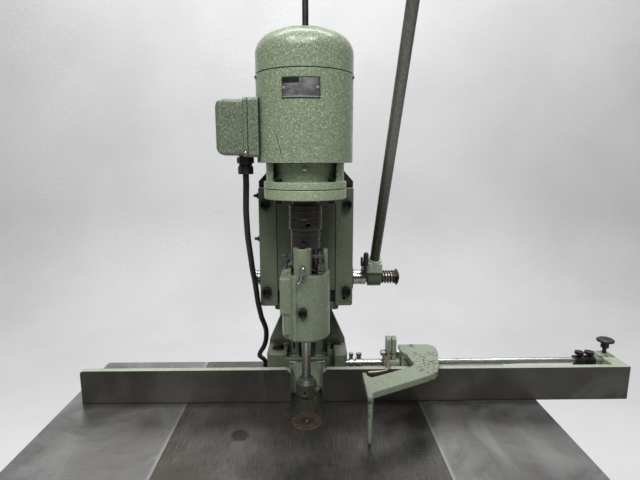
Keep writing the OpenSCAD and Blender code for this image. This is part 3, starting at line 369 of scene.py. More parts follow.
def table_finish(name):
    """Planed cast-iron table: fine tool lines, swirls, water marks and oil stains on top, as cast elsewhere.
    Its wings are painted lighter and its middle darker as painted reflections, and its recesses get painted
    shade.
    """
    f = Finish(name)
    along = f.noise(30, 3, 0.6, at=f.stretch(0.6, 26, 1))
    across = f.noise(30, 4, 0.65, at=f.stretch(44, 0.7, 1))
    left = f.span(f.xyz[0], TABLE_SEAM_LEFT - 0.0005, TABLE_SEAM_LEFT + 0.0005, 1, 0)
    right = f.span(f.xyz[0], TABLE_SEAM_RIGHT - 0.0005, TABLE_SEAM_RIGHT + 0.0005)
    wing = f.any_of(left, right)
    lines = f.times(along, f.span(wing, 0, 1, 0.25, 0.6))
    lines = f.plus(lines, f.times(across, f.span(wing, 0, 1, 0.75, 0.4)))
    # The middle is painted darker and the wings lighter, over the planing lines: painted reflections of the
    # machine over the middle and of the pale wall in the wings.
    middle = f.mix(f.span(lines, 0.36, 0.66), (0.070, 0.066, 0.060), (0.205, 0.198, 0.186))
    side = f.mix(f.span(lines, 0.30, 0.72), (0.235, 0.230, 0.222), (0.330, 0.326, 0.318))
    base = f.mix(wing, middle, side)
    swirl = f.noise(5.2, 4, 0.6, 1.2)
    # Pale smears, mostly on the wings: partly handling marks and partly painted reflection.
    smear = f.span(f.noise(7, 5, 0.62, 1.4, at=f.stretch(1, 0.45, 1, turn=(0, 0, 22))), 0.46, 0.66)
    base = f.mix(f.times(smear, f.span(wing, 0, 1, 0.16, 0.55)), base, (0.42, 0.42, 0.415))
    cloudy = f.noise(9, 5, 0.62, 0.8)
    base = f.mix(f.span(cloudy, 0.46, 0.72, 0, 0.5), base, (0.085, 0.079, 0.070))
    front = f.span(f.xyz[1], -0.27, -0.05, 1, 0.35)
    brown = f.all_of(f.span(f.noise(4.5, 4, 0.6, 0.5), 0.44, 0.64), front, f.span(wing, 0, 1, 0.7, 0.15))
    base = f.mix(brown, base, (0.115, 0.088, 0.056))
    worn_left = f.band(0, TABLE_SEAM_LEFT - 0.0065, TABLE_SEAM_LEFT - 0.0005, 0.0014)
    worn_right = f.band(0, TABLE_SEAM_RIGHT + 0.0007, TABLE_SEAM_RIGHT + 0.0055, 0.0014)
    base = f.mix(f.times(f.any_of(worn_left, worn_right), 0.45), base, (0.55, 0.54, 0.52))
    oil = f.spot(-0.118, -0.045, 0.016, 0.35)
    base = f.mix(f.times(oil, 0.75), base, (0.040, 0.034, 0.026))
    spots = f.span(f.noise(48, 3, 0.6), 0.71, 0.78, 0, 0.7)
    base = f.mix(spots, base, (0.060, 0.052, 0.045))
    bright = f.span(f.noise(420, 2, 0.6), 0.76, 0.80, 0, 0.8)
    base = f.mix(bright, base, (0.55, 0.53, 0.5))
    cast = f.span(f.facing[2], 0.5, 0.8, 1, 0)
    base = f.mix(cast, base, (0.05, 0.055, 0.045))
    # Painted shade with grime: recesses darkened nearly black.
    grime_and_shade = f.times(f.hollow(0.012), 0.8)
    base = f.mix(grime_and_shade, base, (0.012, 0.011, 0.010))
    rough = f.plus(f.span(swirl, 0.3, 0.7, 0.27, 0.42), f.times(f.any_of(cast, brown), 0.25))
    metal = f.span(f.any_of(cast, grime_and_shade), 0, 1, 0.95, 0.2)
    normal = f.bump(lines, 0.10, 0.0006, f.bump(f.noise(300, 2), 0.06, 0.0005))
    return f.done(base, rough, metal, normal)


def fence_finish(name):
    """Ground front of the fence: dark grey-brown steel with soft handling smears, and a painted shadow line
    along its foot.
    """
    f = Finish(name)
    broad = f.noise(2.6, 4, 0.6, 0.4)
    smear = f.noise(6.5, 5, 0.6, 1.1)
    base = f.mix(f.span(broad, 0.35, 0.66), (0.060, 0.057, 0.049), (0.096, 0.092, 0.080))
    base = f.mix(f.span(smear, 0.44, 0.72, 0, 0.55), base, (0.150, 0.144, 0.128))
    base = f.mix(f.span(f.noise(11, 4, 0.6), 0.52, 0.74, 0, 0.5), base, (0.040, 0.036, 0.028))
    pits = f.span(f.noise(230, 3, 0.6), 0.72, 0.78, 0, 0.6)
    base = f.mix(pits, base, (0.02, 0.017, 0.014))
    # Painted shadow: a near-black line along the fence's foot, where it meets the table.
    foot = f.band(2, TABLE_Z - 0.01, TABLE_Z + 0.0016, 0.0006)
    base = f.mix(f.times(foot, 0.9), base, (0.008, 0.008, 0.006))
    rough = f.plus(f.span(smear, 0.3, 0.7, 0.36, 0.48), f.times(pits, 0.2))
    return f.done(base, rough, 0.7, f.bump(f.noise(150, 3), 0.05, 0.0005))


def insert_finish(name):
    """Worn wooden insert: nearly black with oil, golden where it is chipped, darkest at the drilled centre."""
    f = Finish(name)
    fibre = f.noise(60, 4, 0.65, 0.5, at=f.stretch(1, 5, 1, turn=(0, 0, 28)))
    base = f.mix(f.span(fibre, 0.35, 0.7), (0.018, 0.012, 0.008), (0.062, 0.038, 0.022))
    chips = f.span(f.noise(260, 4, 0.7), 0.60, 0.65)
    away = f.spot(0, 0, 0.013, 0.25)
    chips = f.all_of(chips, f.span(f.noise(36, 3), 0.42, 0.58), f.span(away, 0, 1, 1, 0.2))
    base = f.mix(chips, base, f.mix(f.noise(140, 2), (0.40, 0.25, 0.085), (0.20, 0.115, 0.040)))
    base = f.mix(f.times(away, 0.8), base, (0.008, 0.006, 0.005))
    return f.done(base, f.span(chips, 0, 1, 0.38, 0.65), 0.0, f.bump(f.plus(fibre, chips), 0.5, 0.0010))


def plate_finish(name):
    """Blank rating plate: dark border, black block top left, grey field with a bright lower edge."""
    f = Finish(name)
    left, right, low, high = -0.033, 0.024, TABLE_Z + 0.569, TABLE_Z + 0.599
    border, sharp = 0.0014, 0.0002
    field = f.band(0, left + border, right - border, sharp)
    field = f.times(field, f.band(2, low + border, high - border, sharp))
    block = f.times(f.band(0, left + 0.0008, -0.0069, sharp), f.band(2, high - 0.0087, high - 0.0013, sharp))
    base = f.mix(f.span(f.noise(70, 4, 0.6), 0.35, 0.68), (0.20, 0.20, 0.195), (0.42, 0.42, 0.415))
    worn_away = f.span(f.noise(160, 3, 0.6, at=f.stretch(1, 1, 4)), 0.45, 0.6, 0, 0.5)
    base = f.mix(f.times(f.band(2, low + 0.0030, low + 0.0180, 0.0006), worn_away), base, (0.10, 0.10, 0.098))
    base = f.mix(f.band(2, low + 0.0012, low + 0.0026, 0.0003), base, (0.72, 0.72, 0.70))
    base = f.mix(field, (0.030, 0.032, 0.028), base)
    base = f.mix(block, base, (0.010, 0.010, 0.011))
    rivets = f.any_of(f.band(0, -0.0320, -0.0280, sharp), f.band(0, 0.0185, 0.0225, sharp))
    rivets = f.times(rivets, f.band(2, low + 0.0130, low + 0.0170, sharp))
    base = f.mix(rivets, base, (0.50, 0.50, 0.48))
    metal = f.times(field, f.span(block, 0, 1, 0.75, 0))
    return f.done(base, 0.34, metal, f.bump(f.noise(260, 3), 0.1, 0.0003))


def lever_finish(name):
    """Lever tube: dark and oily near the hub, dull olive grey where it is held."""
    f = Finish(name)
    streaks = f.noise(30, 3, 0.6, at=f.stretch(14, 14, 1))
    low = f.mix(f.span(streaks, 0.35, 0.68), (0.030, 0.031, 0.022), (0.065, 0.066, 0.050))
    high = f.mix(f.span(streaks, 0.35, 0.68), (0.120, 0.124, 0.104), (0.190, 0.195, 0.170))
    level = f.plus(f.xyz[2], f.waver(0.16, 12))
    base = f.mix(f.span(level, TABLE_Z + 0.34, TABLE_Z + 0.52), low, high)
    spots = f.span(f.noise(150, 4, 0.7), 0.62, 0.70, 0, 0.7)
    base = f.mix(spots, base, (0.045, 0.034, 0.022))
    shine = f.span(streaks, 0.3, 0.7, 0.30, 0.42)
    return f.done(base, shine, 0.35, f.bump(streaks, 0.06, 0.0005), Coat_Weight=0.15, Coat_Roughness=0.2)


def rubber(name):
    """Black rubber cable sheath, scuffed and dusty."""
    f = Finish(name)
    scuff = f.span(f.noise(120, 4, 0.65), 0.5, 0.75, 0, 0.5)
    base = f.mix(scuff, (0.010, 0.010, 0.011), (0.035, 0.034, 0.032))
    dust = f.span(f.noise(22, 3), 0.5, 0.75, 0, 0.25)
    base = f.mix(dust, base, (0.06, 0.058, 0.05))
    return f.done(base, f.span(scuff, 0, 0.5, 0.42, 0.6), 0.0, f.bump(f.noise(380, 3), 0.15, 0.0005))


def spring_wire(name, colour, rusty):
    """Oily spring steel, rustier as rusty goes from 0 to 1."""
    f = Finish(name)
    cloud = f.noise(150, 4, 0.65)
    base = f.mix(f.span(cloud, 0.35, 0.65), colour, shade(colour, 0.4, 0.36, 0.34))
    rust = f.span(f.noise(260, 4, 0.7), 0.62 - 0.2 * rusty, 0.72 - 0.15 * rusty, 0, 0.85)
    base = f.mix(rust, base, (0.16, 0.055, 0.022))
    # Painted shade: the hollows between the turns are darkened.
    base = f.mix(f.times(f.hollow(0.004), 0.7), base, (0.014, 0.010, 0.008))
    rough = f.span(rust, 0, 0.8, 0.34, 0.62)
    metal = f.span(rust, 0, 0.8, 0.9, 0.2)
    return f.done(base, rough, metal, f.bump(cloud, 0.2, 0.0004))


M = {}
M["motor"] = paint("motor_enamel", GREEN, hammer=1.0, chips=0.16, dirt_and_shade=0.35, gloss=0.30, marks=motor_scratch)
M["cowl"] = paint("cowl_enamel", GREEN, hammer=1.0, chips=0.05,
                  dirt_and_shade=0.35, gloss=0.27, lines=cowl_seam, reach=0.0012)
M["flange"] = paint("flange_enamel", (0.360, 0.430, 0.285), hammer=0.7, chips=0.5,
                    dirt_and_shade=0.4, gloss=0.34, lines=flange_seam)
M["box"] = paint("box_enamel", (0.185, 0.224, 0.150), hammer=1.15, chips=0.10,
                 dirt_and_shade=0.4, gloss=0.33, lines=box_seam, reach=0.002)
M["head"] = paint("head_enamel", (0.208, 0.250, 0.166), hammer=0.60, chips=0.62,
                  dirt_and_shade=0.8, gloss=0.36, polish=0.75)
# The slide, strips, column and foot get darker copies of the green enamel: painted shade under the motor,
# together with grime.
M["slide"] = paint("slide_enamel_shade_and_grime", (0.130, 0.155, 0.100), hammer=0.6, chips=0.35, dirt_and_shade=0.9, gloss=0.42)
M["strip"] = paint("strip_enamel_shade_and_grime", (0.165, 0.195, 0.130), hammer=0.7, chips=0.42, dirt_and_shade=0.7, gloss=0.40)
M["column"] = paint("column_enamel_shade_and_grime", (0.150, 0.178, 0.118), hammer=0.7, chips=0.4, dirt_and_shade=0.8, gloss=0.42)
M["foot"] = paint("foot_enamel_shade_and_grime", (0.165, 0.192, 0.135), hammer=0.7, chips=0.55,
                  dirt_and_shade=1.0, gloss=0.40, polish=0.5)
M["fence_top"] = paint("fence_enamel", (0.360, 0.410, 0.310), hammer=0.5, chips=0.62,
                       dirt_and_shade=0.6, gloss=0.40, polish=0.4)
# The stop's enamel is a lighter copy of the cast parts' green: painted light for its level top catching light
# from above.
M["arm"] = paint("stop_enamel_painted_lit", (0.235, 0.274, 0.196), hammer=0.45, chips=1.05,
                 dirt_and_shade=0.7, gloss=0.36, marks=arm_wear, polish=0.3)
M["stand"] = paint("stand_enamel", (0.225, 0.270, 0.180), hammer=0.9, chips=0.35, dirt_and_shade=0.5, gloss=0.38)
M["hub"] = paint("hub_enamel", (0.085, 0.105, 0.068), hammer=0.5, chips=0.7, dirt_and_shade=0.9, gloss=0.40)
# The socket's enamel is a far paler copy of the hub's: painted light for the socket facing up.
M["hub_top_painted_lit"] = paint("socket_enamel_painted_lit", (0.540, 0.590, 0.490), hammer=0.4, chips=0.4, dirt_and_shade=0.4, gloss=0.34)
M["cap"] = black("cap_enamel", (0.014, 0.014, 0.013), rough=0.38, worn=0.35)
M["oxide"] = black("black_oxide", (0.014, 0.013, 0.012), rough=0.36, worn=0.6, metal=0.5)
M["plastic"] = black("black_plastic", (0.012, 0.012, 0.012), rough=0.48, worn=0.3)
M["mast"] = black("mast_enamel", (0.010, 0.010, 0.010), rough=0.40, worn=0.25)
M["bright"] = steel("bright_steel", (0.62, 0.61, 0.59), rough=0.20, brush=(1, 50, 50), stain=0.22, rust=0.05)
M["bright_z"] = steel("turned_steel", (0.52, 0.51, 0.49), rough=0.20,
                      brush=(0.2, 0.2, 22), stain=0.16, rust=0.0, bump=0.03)
M["plain"] = steel("screw_steel", (0.50, 0.49, 0.47), rough=0.30, brush=(20, 20, 20), stain=0.35, rust=0.15)
M["dark"] = steel("dark_steel", (0.20, 0.19, 0.18), rough=0.36, brush=(8, 8, 40), stain=0.4, rust=0.3)
M["coupling"] = steel("coupling_steel", (0.135, 0.126, 0.118), rough=0.24,
                      brush=(0.2, 0.2, 20), stain=0.10, rust=0.0, fine=30, bump=0.03)
M["table"] = table_finish("table_steel")
M["insert"] = insert_finish("insert_wood")
M["plate"] = plate_finish("rating_plate")
M["tube"] = lever_finish("lever_tube_steel")
M["rod"] = steel("rod_steel", (0.36, 0.285, 0.255), rough=0.34,
                 brush=(3, 3, 3), stain=0.2, rust=0.0, bump=0.02)
M["chuck"] = paint("chuck_enamel", (0.040, 0.050, 0.032), hammer=0.9, chips=0.75,
                   dirt_and_shade=1.0, gloss=0.42, bare=(0.16, 0.13, 0.05))
M["fence"] = fence_finish("fence_steel")
M["rubber"] = rubber("cable_sheath")
M["spring"] = spring_wire("spring_wire", (0.22, 0.21, 0.20), 0.15)
M["hub_spring"] = spring_wire("hub_spring_wire", (0.11, 0.068, 0.050), 0.75)


# ---- Pieces ----


def piece_of(mesh, name, body):
    """A new object from a mesh in the row frame, riding on a body unless that is None."""
    obj = bpy.data.objects.new(name, mesh)
    scene.collection.objects.link(obj)
    if body is not None:
        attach(obj, body)
    return obj


def stand_in(node, mesh, materials, name=None):
    """Shows a new mesh in place of a CAD node, on the same body and with the given materials."""
    picks = [face.material_index for face in mesh.polygons]
    mesh.materials.clear()
    for m in materials:
        mesh.materials.append(M[m])
    mesh.polygons.foreach_set("material_index", picks)
    obj = piece_of(mesh, name or node + "_skin", nodes[node]["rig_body"])
    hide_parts(node)
    return obj


def smooth_shaded(mesh, angle):
    """Smooth shading, but for edges sharper than angle degrees."""
    mesh.polygons.foreach_set("use_smooth", [True] * len(mesh.polygons))
    mesh.set_sharp_from_angle(angle=math.radians(angle))


def cleaned(node):
    """A node's mesh with its seams welded and its flat faces joined."""
    bm = bmesh.new()
    bm.from_mesh(nodes[node].data)
    bmesh.ops.remove_doubles(bm, verts=bm.verts, dist=1.5e-5)
    bmesh.ops.dissolve_degenerate(bm, dist=1e-6, edges=bm.edges)
    bmesh.ops.dissolve_limit(
        bm, angle_limit=math.radians(0.3), use_dissolve_boundaries=False, verts=bm.verts, edges=bm.edges,
    )
    return bm


def pick_materials(bm, pick):
    """Gives each face the material number that pick(centre, normal) says, the centre as for at_table."""
    if pick is not None:
        for face in bm.faces:
            centre = (face.calc_center_median() - Vector((0, 0, TABLE_Z))) * 1000
            face.material_index = pick(centre, face.normal)


def rounded(node, width, *materials, pick=None):
    """The node with its sharp edges rounded by width, in millimetres."""
    bm = cleaned(node)
    sharp = [e for e in bm.edges if len(e.link_faces) == 2 and e.calc_face_angle(0) > math.radians(33)]
    bmesh.ops.bevel(
        bm, geom=sharp, offset=width / 1000, offset_type="OFFSET", segments=2, profile=0.5,
        affect="EDGES", clamp_overlap=False, loop_slide=True, material=-1,
    )
    bmesh.ops.remove_doubles(bm, verts=bm.verts, dist=5e-6)
    pick_materials(bm, pick)
    mesh = bpy.data.meshes.new(node + "_skin")
    bm.to_mesh(mesh)
    bm.free()
    smooth_shaded(mesh, 40)
    obj = stand_in(node, mesh, materials)
    obj.modifiers.new("even_shading", "WEIGHTED_NORMAL").keep_sharp = True


def remeshed(node, voxel):
    """A node's mesh rebuilt from even squares, voxel millimetres wide."""
    bm = cleaned(node)
    mesh = bpy.data.meshes.new(node + "_rough")
    bm.to_mesh(mesh)
    bm.free()
    obj = bpy.data.objects.new(node + "_rough", mesh)
    scene.collection.objects.link(obj)
    squares = obj.modifiers.new("remesh", "REMESH")
    squares.mode, squares.voxel_size, squares.adaptivity = "VOXEL", voxel / 1000, 0
    graph = bpy.context.evaluated_depsgraph_get()
    solid = bpy.data.meshes.new_from_object(obj.evaluated_get(graph), depsgraph=graph)
    bpy.data.objects.remove(obj)
    return solid


def cast(node, voxel, *materials, rounds=2, rough=0.12, pick=None):
    """The node as a rough casting: its edges softened in rounds, its faces uneven by rough millimetres."""
    solid = remeshed(node, voxel)
    bm = bmesh.new()
    bm.from_mesh(solid)
    for _ in range(rounds):
        bmesh.ops.smooth_vert(bm, verts=bm.verts, factor=0.5, use_axis_x=True, use_axis_y=True, use_axis_z=True)
    bm.normal_update()
    for v in bm.verts:
        uneven = noise.noise(v.co * 45) * 0.7 + noise.noise(v.co * 160) * 0.3
        v.co = v.co + v.normal * (uneven * rough / 1000)
    pick_materials(bm, pick)
    bm.to_mesh(solid)
    bm.free()
    smooth_shaded(solid, 180)
    stand_in(node, solid, materials)


def finish_node(node, material):
    """Keeps a CAD node as it is and gives it a finish."""
    mesh = nodes[node].data
    mesh.materials.clear()
    mesh.materials.append(M[material])


def through_rings(name, rings, angle):
    """A closed mesh through rings of points, smooth but for edges sharper than angle degrees."""
    bm = bmesh.new()
    rows = [[bm.verts.new(p) for p in ring] for ring in rings]
    for a, b in zip(rows, rows[1:]):
        for k in range(len(a)):
            j = (k + 1) % len(a)
            bm.faces.new((a[k], a[j], b[j], b[k]))
    bm.faces.new(rows[0])
    bm.faces.new(rows[-1])
    bmesh.ops.recalc_face_normals(bm, faces=bm.faces)
    mesh = bpy.data.meshes.new(name)
    bm.to_mesh(mesh)
    bm.free()
    smooth_shaded(mesh, angle)
    return mesh


def on_circle(radius, k, sides):
    """The point k of sides round a circle, as x and y."""
    a = 2 * math.pi * k / sides
    return radius * math.cos(a), radius * math.sin(a)


def tube(points, radius, sides=16):
    """A round tube along points."""
    side = None
    rings = []
    for i, p in enumerate(points):
        heading = (points[min(i + 1, len(points) - 1)] - points[max(i - 1, 0)]).normalized()
        if side is None:
            side = heading.orthogonal()
        side = (side - heading * side.dot(heading)).normalized()
        across = heading.cross(side)
        spokes = [on_circle(radius, k, sides) for k in range(sides)]
        rings.append([p + side * x + across * y for x, y in spokes])
    return through_rings("tube", rings, 50)


# ---- Motor cable ----

CABLE_R = 0.0052
CABLE_ROUTE = [
    (-100, 0, 455), (-100, 0, 436), (-101, 1, 414), (-102, 4, 392), (-102, 9, 369),
    (-102, 16, 346), (-101, 25, 323), (-100, 35, 300), (-99, 46, 276), (-97, 58, 252),
    (-96, 69, 228), (-95, 79, 206), (-93, 88, 186), (-91, 102, 164), (-88, 121, 143),
    (-86, 133, 125), (-87, 142, 107), (-90, 150, 91), (-95, 158, 77), (-101, 167, 65),
    (-106, 178, 53), (-108, 191, 42), (-107, 206, 32), (-103, 220, 21), (-99, 229, 9),
    (-98, 232, -4),
]
CABLE_TOP, CABLE_FREE_TOP, CABLE_FREE_LOW = CABLE_ROUTE[0], CABLE_ROUTE[1], CABLE_ROUTE[17]


def spline(points, steps=4):
    """Points along the smooth curve through the given ones."""
    ends = [points[0] * 2 - points[1], *points, points[-1] * 2 - points[-2]]
    out = []
    for a, b, c, d in zip(ends, ends[1:], ends[2:], ends[3:]):
        for i in range(steps):
            t = i / steps
            bend = (2 * a - 5 * b + 4 * c - d) * t * t + (3 * b - a - 3 * c + d) * t**3
            out.append(0.5 * (2 * b + (c - a) * t + bend))
    return out + [points[-1]]


cable_path = spline([at_table(*p) for p in CABLE_ROUTE])
cable_mesh = tube(cable_path, CABLE_R, 18)
cable_mesh.materials.append(M["rubber"])
cable = piece_of(cable_mesh, "motor_lead", None)
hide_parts("motor_cable")
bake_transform(cable, "frame", "head", start=at_table(*CABLE_FREE_LOW), end=at_table(*CABLE_FREE_TOP))

# ---- Springs ----

SPRING_WIRE_R = 0.0018
SPRING_R = 0.014
SPRING_HOLD = 0.004
ROD_Y = 0.140
ROD_COLLAR_Z = TABLE_Z + 0.690
HUB_WIRE_R = 0.0015
HUB_SPRING_R = 0.0128


def helix(radius, length, turns, wire, steps=28, end_turns=1.2):
    """Centreline of a compression spring along +Z, its end turns closed up."""
    closed_pitch = 2.05 * wire
    free_length = length - 2 * wire - 2 * end_turns * closed_pitch
    total = turns + 2 * end_turns
    count = int(total * steps)
    out = []
    for i in range(count + 1):
        turn = total * i / count
        free = min(max(turn - end_turns, 0), turns)
        z = wire + (turn - free) * closed_pitch + free / turns * free_length
        out.append(Vector((*on_circle(radius, turn, 1), z)))
    return out


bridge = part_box("column_cap")[1].z
coil = helix(SPRING_R, ROD_COLLAR_Z - bridge, 12.5, SPRING_WIRE_R)
spring_mesh = tube([Vector((0, ROD_Y, bridge)) + p for p in coil], SPRING_WIRE_R, 10)
spring_mesh.materials.append(M["spring"])
spring = piece_of(spring_mesh, "return_spring_coil", None)
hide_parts("return_spring")
still, moved = bridge + SPRING_HOLD, ROD_COLLAR_Z - SPRING_HOLD
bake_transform(spring, "frame", "head", start=(0, ROD_Y, still), end=(0, ROD_Y, moved))
# a spring's turns spread evenly, so the share moved grows evenly with height
share = [min(max((v.co.z - still) / (moved - still), 0), 1) for v in spring_mesh.vertices]
spring_mesh.attributes["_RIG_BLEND"].data.foreach_set("value", np.array(share, np.float32))

hub_low, hub_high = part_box("hub_spring")
hub_start = Vector((hub_low.x, (hub_low.y + hub_high.y) / 2, (hub_low.z + hub_high.z) / 2))
turn_right = Matrix.Rotation(math.radians(90), 4, "Y")
coil = helix(HUB_SPRING_R, hub_high.x - hub_low.x, 4.2, HUB_WIRE_R, 32, 0.9)
hub_mesh = tube([hub_start + turn_right @ p for p in coil], HUB_WIRE_R, 10)
stand_in("hub_spring", hub_mesh, ["hub_spring"], "hub_spring_coil")

# ---- Stand and table ----

rounded("pedestal", 2.0, "stand")
rounded("table_centre", 0.5, "table")
rounded("table_wing_left", 0.5, "table")
rounded("table_wing_right", 0.5, "table")
rounded("switch_box", 2.0, "hub")
rounded("switch_knob", 1.0, "plastic")

# ---- Fence, rail and collars ----

FENCE_BACK = 64
POCKET_HALF = 38
POCKET_BACK = 96


def fence_part(p, n):
    """0 ground face, 1 enamel, 2 bare top edge of the pocket."""
    if n.y < -0.7 and p.y < FENCE_BACK:
        return 0
    if p.z > 60 and abs(p.x) < POCKET_HALF and p.y > POCKET_BACK:
        return 2
    return 1


rounded("fence", 0.7, "fence", "fence_top", "bright", pick=fence_part)
rounded("stop_rail", 0.5, "bright")
rounded("left_collars", 0.35, "plain")
rounded("right_collars", 0.4, "oxide")
rounded("end_knob", 0.5, "plastic")

# ---- Foot and column ----

cast("foot_bracket", 1.8, "foot", rounds=3, rough=0.25)
rounded("column", 1.4, "column")
rounded("column_cap", 1.6, "cap")
rounded("keeper_strip_left", 1.2, "strip")
rounded("keeper_strip_right", 1.2, "strip")
rounded("socket_screws", 0.6, "oxide")
rounded("hex_bolts", 0.5, "oxide")
finish_node("gib_strip", "plain")
finish_node("gib_screws", "oxide")
finish_node("shaft_bushes", "bright_z")

# ---- Slide, feed and motor ----

rounded("slide_plate", 1.0, "slide")
rounded("feed_rack", 0.3, "dark")
rounded("spring_rod", 0.5, "mast")
rounded("motor_bracket", 2.0, "flange")
rounded("motor_endshield", 1.4, "flange")
rounded("flange_bolts", 0.4, "oxide")
rounded("motor_frame", 1.0, "motor")
finish_node("stator", "dark")
finish_node("rotor", "dark")
rounded("cooling_fan", 0.5, "plastic")
rounded("fan_cowl", 0.6, "cowl")
rounded("motor_screws", 0.3, "bright_z")
finish_node("nameplate", "plate")
rounded("terminal_box_base", 0.8, "box")
rounded("terminal_box_cover", 1.2, "box")
rounded("terminal_block", 0.5, "plastic")
rounded("cable_gland", 0.6, "plastic")

# ---- Drill head ----

cast("head_casting", 1.1, "head", rounds=2, rough=0.2)
rounded("head_screws", 0.5, "oxide")
rounded("stop_stud", 0.3, "dark")
finish_node("bearings", "bright_z")
rounded("head_clamp", 0.4, "bright_z")
rounded("coupling", 0.6, "coupling")
rounded("spindle", 0.5, "bright_z")
cast("chuck", 0.8, "chuck", rounds=2, rough=0.3)

# ---- Hand lever ----

HUB_SOCKET_Z = 247

rounded("pinion_shaft", 0.3, "bright_z")
# The socket above HUB_SOCKET_Z gets the paler enamel: painted light where it faces up.
cast("lever_hub", 0.7, "hub", "hub_top_painted_lit", rounds=2, rough=0.15, pick=lambda p, n: int(p.z > HUB_SOCKET_Z))
rounded("lever_tube", 0.5, "tube")
rounded("lever_knob", 0.8, "plastic")
rounded("index_pin", 0.5, "plastic")
rounded("spring_cap", 0.4, "oxide")

# ---- Flip stop ----

cast("stop_carriage", 0.8, "arm", rounds=2, rough=0.2)
cast("stop_arm", 1.0, "arm", rounds=2, rough=0.25)
rounded("stop_finger", 0.4, "arm")
rounded("stop_clamp", 0.4, "rod")


def worn_insert(node, rings=26, sides=84):
    """The wooden insert with a drilled dimple, dents and a rounded rim."""
    low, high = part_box(node)
    radius = (high.x - low.x) / 2
    dimple_depth, dimple_r = 0.0045, 0.0058
    rim_drop, rim_width = 0.0012, 0.0015
    rows = []
    for i in range(rings + 1):
        r = radius * max(i / rings, 0.004)
        dimple = dimple_depth * max(0.0, 1 - (r / dimple_r) ** 4)
        rim = rim_drop * max(0.0, (r - radius + rim_width) / rim_width) ** 2
        row = []
        for k in range(sides):
            x, y = on_circle(r, k, sides)
            dent = 0.0022 * max(0.0, noise.noise(Vector((x, y, 0.3)) * 150) - 0.15)
            row.append((x, y, high.z - 0.0002 - dent - dimple - rim))
        rows.append(row)
    rows.append([(x, y, low.z) for x, y, _ in rows[-1]])
    stand_in(node, through_rings(node + "_worn", rows, 50), ["insert"])


worn_insert("table_insert")

# ---- Small screws ----


def turned(profile, place, towards, sides=40):
    """A solid turned from (radius, height) points in millimetres, standing at place and pointing towards."""
    turn = Vector(towards).to_track_quat("Z", "Y")
    rows = []
    for r, h in profile:
        rows.append([place + turn @ (Vector((*on_circle(r, k, sides), h)) / 1000) for k in range(sides)])
    return through_rings("turned", rows, 40)


def set_screw(name, node, place, towards, outer, depth, proud, finish):
    """Socket set screw, in millimetres: its rounded end stands proud of the node, with a socket sunk in it."""
    inner = outer * 0.52
    end = [(outer, -1.0), (outer, proud - 0.6), (outer - 0.6, proud)]
    socket = [(inner + 0.3, proud), (inner, proud - 0.3), (inner, proud - depth)]
    mesh = turned(end + socket, at_table(*place), towards)
    mesh.materials.append(M[finish])
    piece_of(mesh, name, nodes[node]["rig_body"])


chuck_side = (math.cos(math.radians(35)), -math.sin(math.radians(35)), 0)
set_screw("chuck_screw", "chuck", (25.1, -9.2, 64), chuck_side, 4.2, 2.4, 2.6, "oxide")
set_screw("stop_arm_screw", "stop_arm", (222, 131, 91), (0, 0, 1), 3.9, 1.6, 0.9, "plain")

# ---- Floor, backdrop and light ----


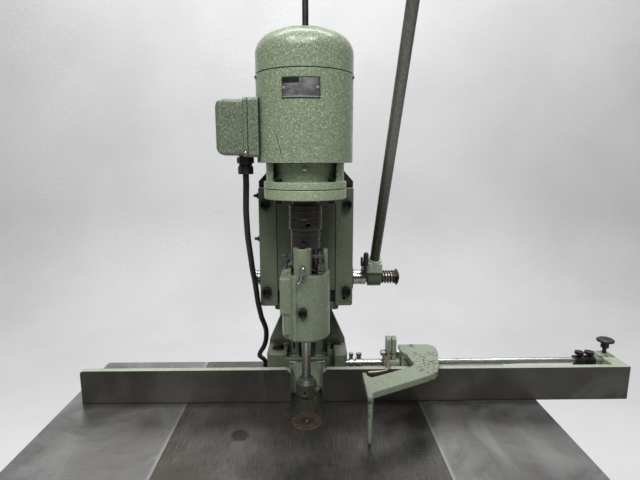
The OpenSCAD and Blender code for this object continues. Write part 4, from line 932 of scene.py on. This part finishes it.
def backdrop():
    """A pale floor that turns up into a pale wall, far behind the machine."""
    front, bend_start, bend_r, top, half_width = -5.0, 2.6, 0.9, 6.5, 7
    profile = [(front, 0.0), (bend_start, 0.0)]
    for i in range(1, 10):
        a = math.radians(9 * i)
        profile.append((bend_start + bend_r * math.sin(a), bend_r - bend_r * math.cos(a)))
    profile += [(bend_start + bend_r, bend_r), (bend_start + bend_r, top)]
    bm = bmesh.new()
    left, right = [[bm.verts.new((x, y, z)) for y, z in profile] for x in (-half_width, half_width)]
    for i in range(len(profile) - 1):
        bm.faces.new((left[i], left[i + 1], right[i + 1], right[i]))
    mesh = bpy.data.meshes.new("backdrop")
    bm.to_mesh(mesh)
    bm.free()
    smooth_shaded(mesh, 60)
    obj = bpy.data.objects.new("backdrop", mesh)
    scene.collection.objects.link(obj)
    f = Finish("pale_wall")
    base = f.mix(f.span(f.noise(0.7, 3), 0.3, 0.7), (0.60, 0.60, 0.605), (0.68, 0.68, 0.685))
    mesh.materials.append(f.done(base, 0.85, 0.0, f.bump(f.noise(26, 5, 0.6), 0.35, 0.012)))


def soft_light(name, place, target, width, depth, power):
    """A rectangular lamp of width by depth metres, aimed at target."""
    data = bpy.data.lights.new(name, "AREA")
    data.shape = "RECTANGLE"
    data.size, data.size_y = width, depth
    data.energy = power
    obj = bpy.data.objects.new(name, data)
    scene.collection.objects.link(obj)
    obj.location = place
    obj.rotation_euler = (Vector(target) - Vector(place)).to_track_quat("-Z", "Y").to_euler()


def sky_light(strength, lowest, between, top):
    """Light from all round. Its grey is lowest straight down (0), then as between says, up to top (1)."""
    world = bpy.data.worlds.new("room")
    scene.world = world
    world.use_nodes = True
    tree = world.node_tree
    sky = tree.nodes["Background"]
    ramp = tree.nodes.new("ShaderNodeValToRGB")
    split = tree.nodes.new("ShaderNodeSeparateXYZ")
    where = tree.nodes.new("ShaderNodeTexCoord")
    height = tree.nodes.new("ShaderNodeMath")
    height.operation = "MULTIPLY_ADD"
    height.inputs[1].default_value = height.inputs[2].default_value = 0.5
    tree.links.new(where.outputs["Generated"], split.inputs[0])
    tree.links.new(split.outputs["Z"], height.inputs[0])
    tree.links.new(height.outputs[0], ramp.inputs[0])
    tree.links.new(ramp.outputs[0], sky.inputs["Color"])
    steps = ramp.color_ramp.elements
    steps[0].color = (lowest, lowest, lowest, 1)
    steps[1].color = (*top, 1)
    for level, grey in between:
        steps.new(level).color = (grey, grey, grey, 1)
    sky.inputs["Strength"].default_value = strength


backdrop()
soft_light("key", (-0.3, -2.2, 3.4), (0, 0.1, 1.2), 2.2, 1.2, 60)
soft_light("lamp_left", (-0.75, -1.1, 3.1), (0, 0, 1.4), 0.22, 0.22, 9)
soft_light("lamp_right", (0.45, -1.2, 3.1), (0, 0, 1.4), 0.22, 0.22, 9)
soft_light("wall_wash", (0, 0.9, 5.0), (0, 3.5, 1.2), 5.0, 1.2, 192)
sky_light(0.5, 0.04, [(0.50, 0.09), (0.64, 0.22)], (0.88, 0.90, 0.92))
scene.view_settings.view_transform = "Standard"
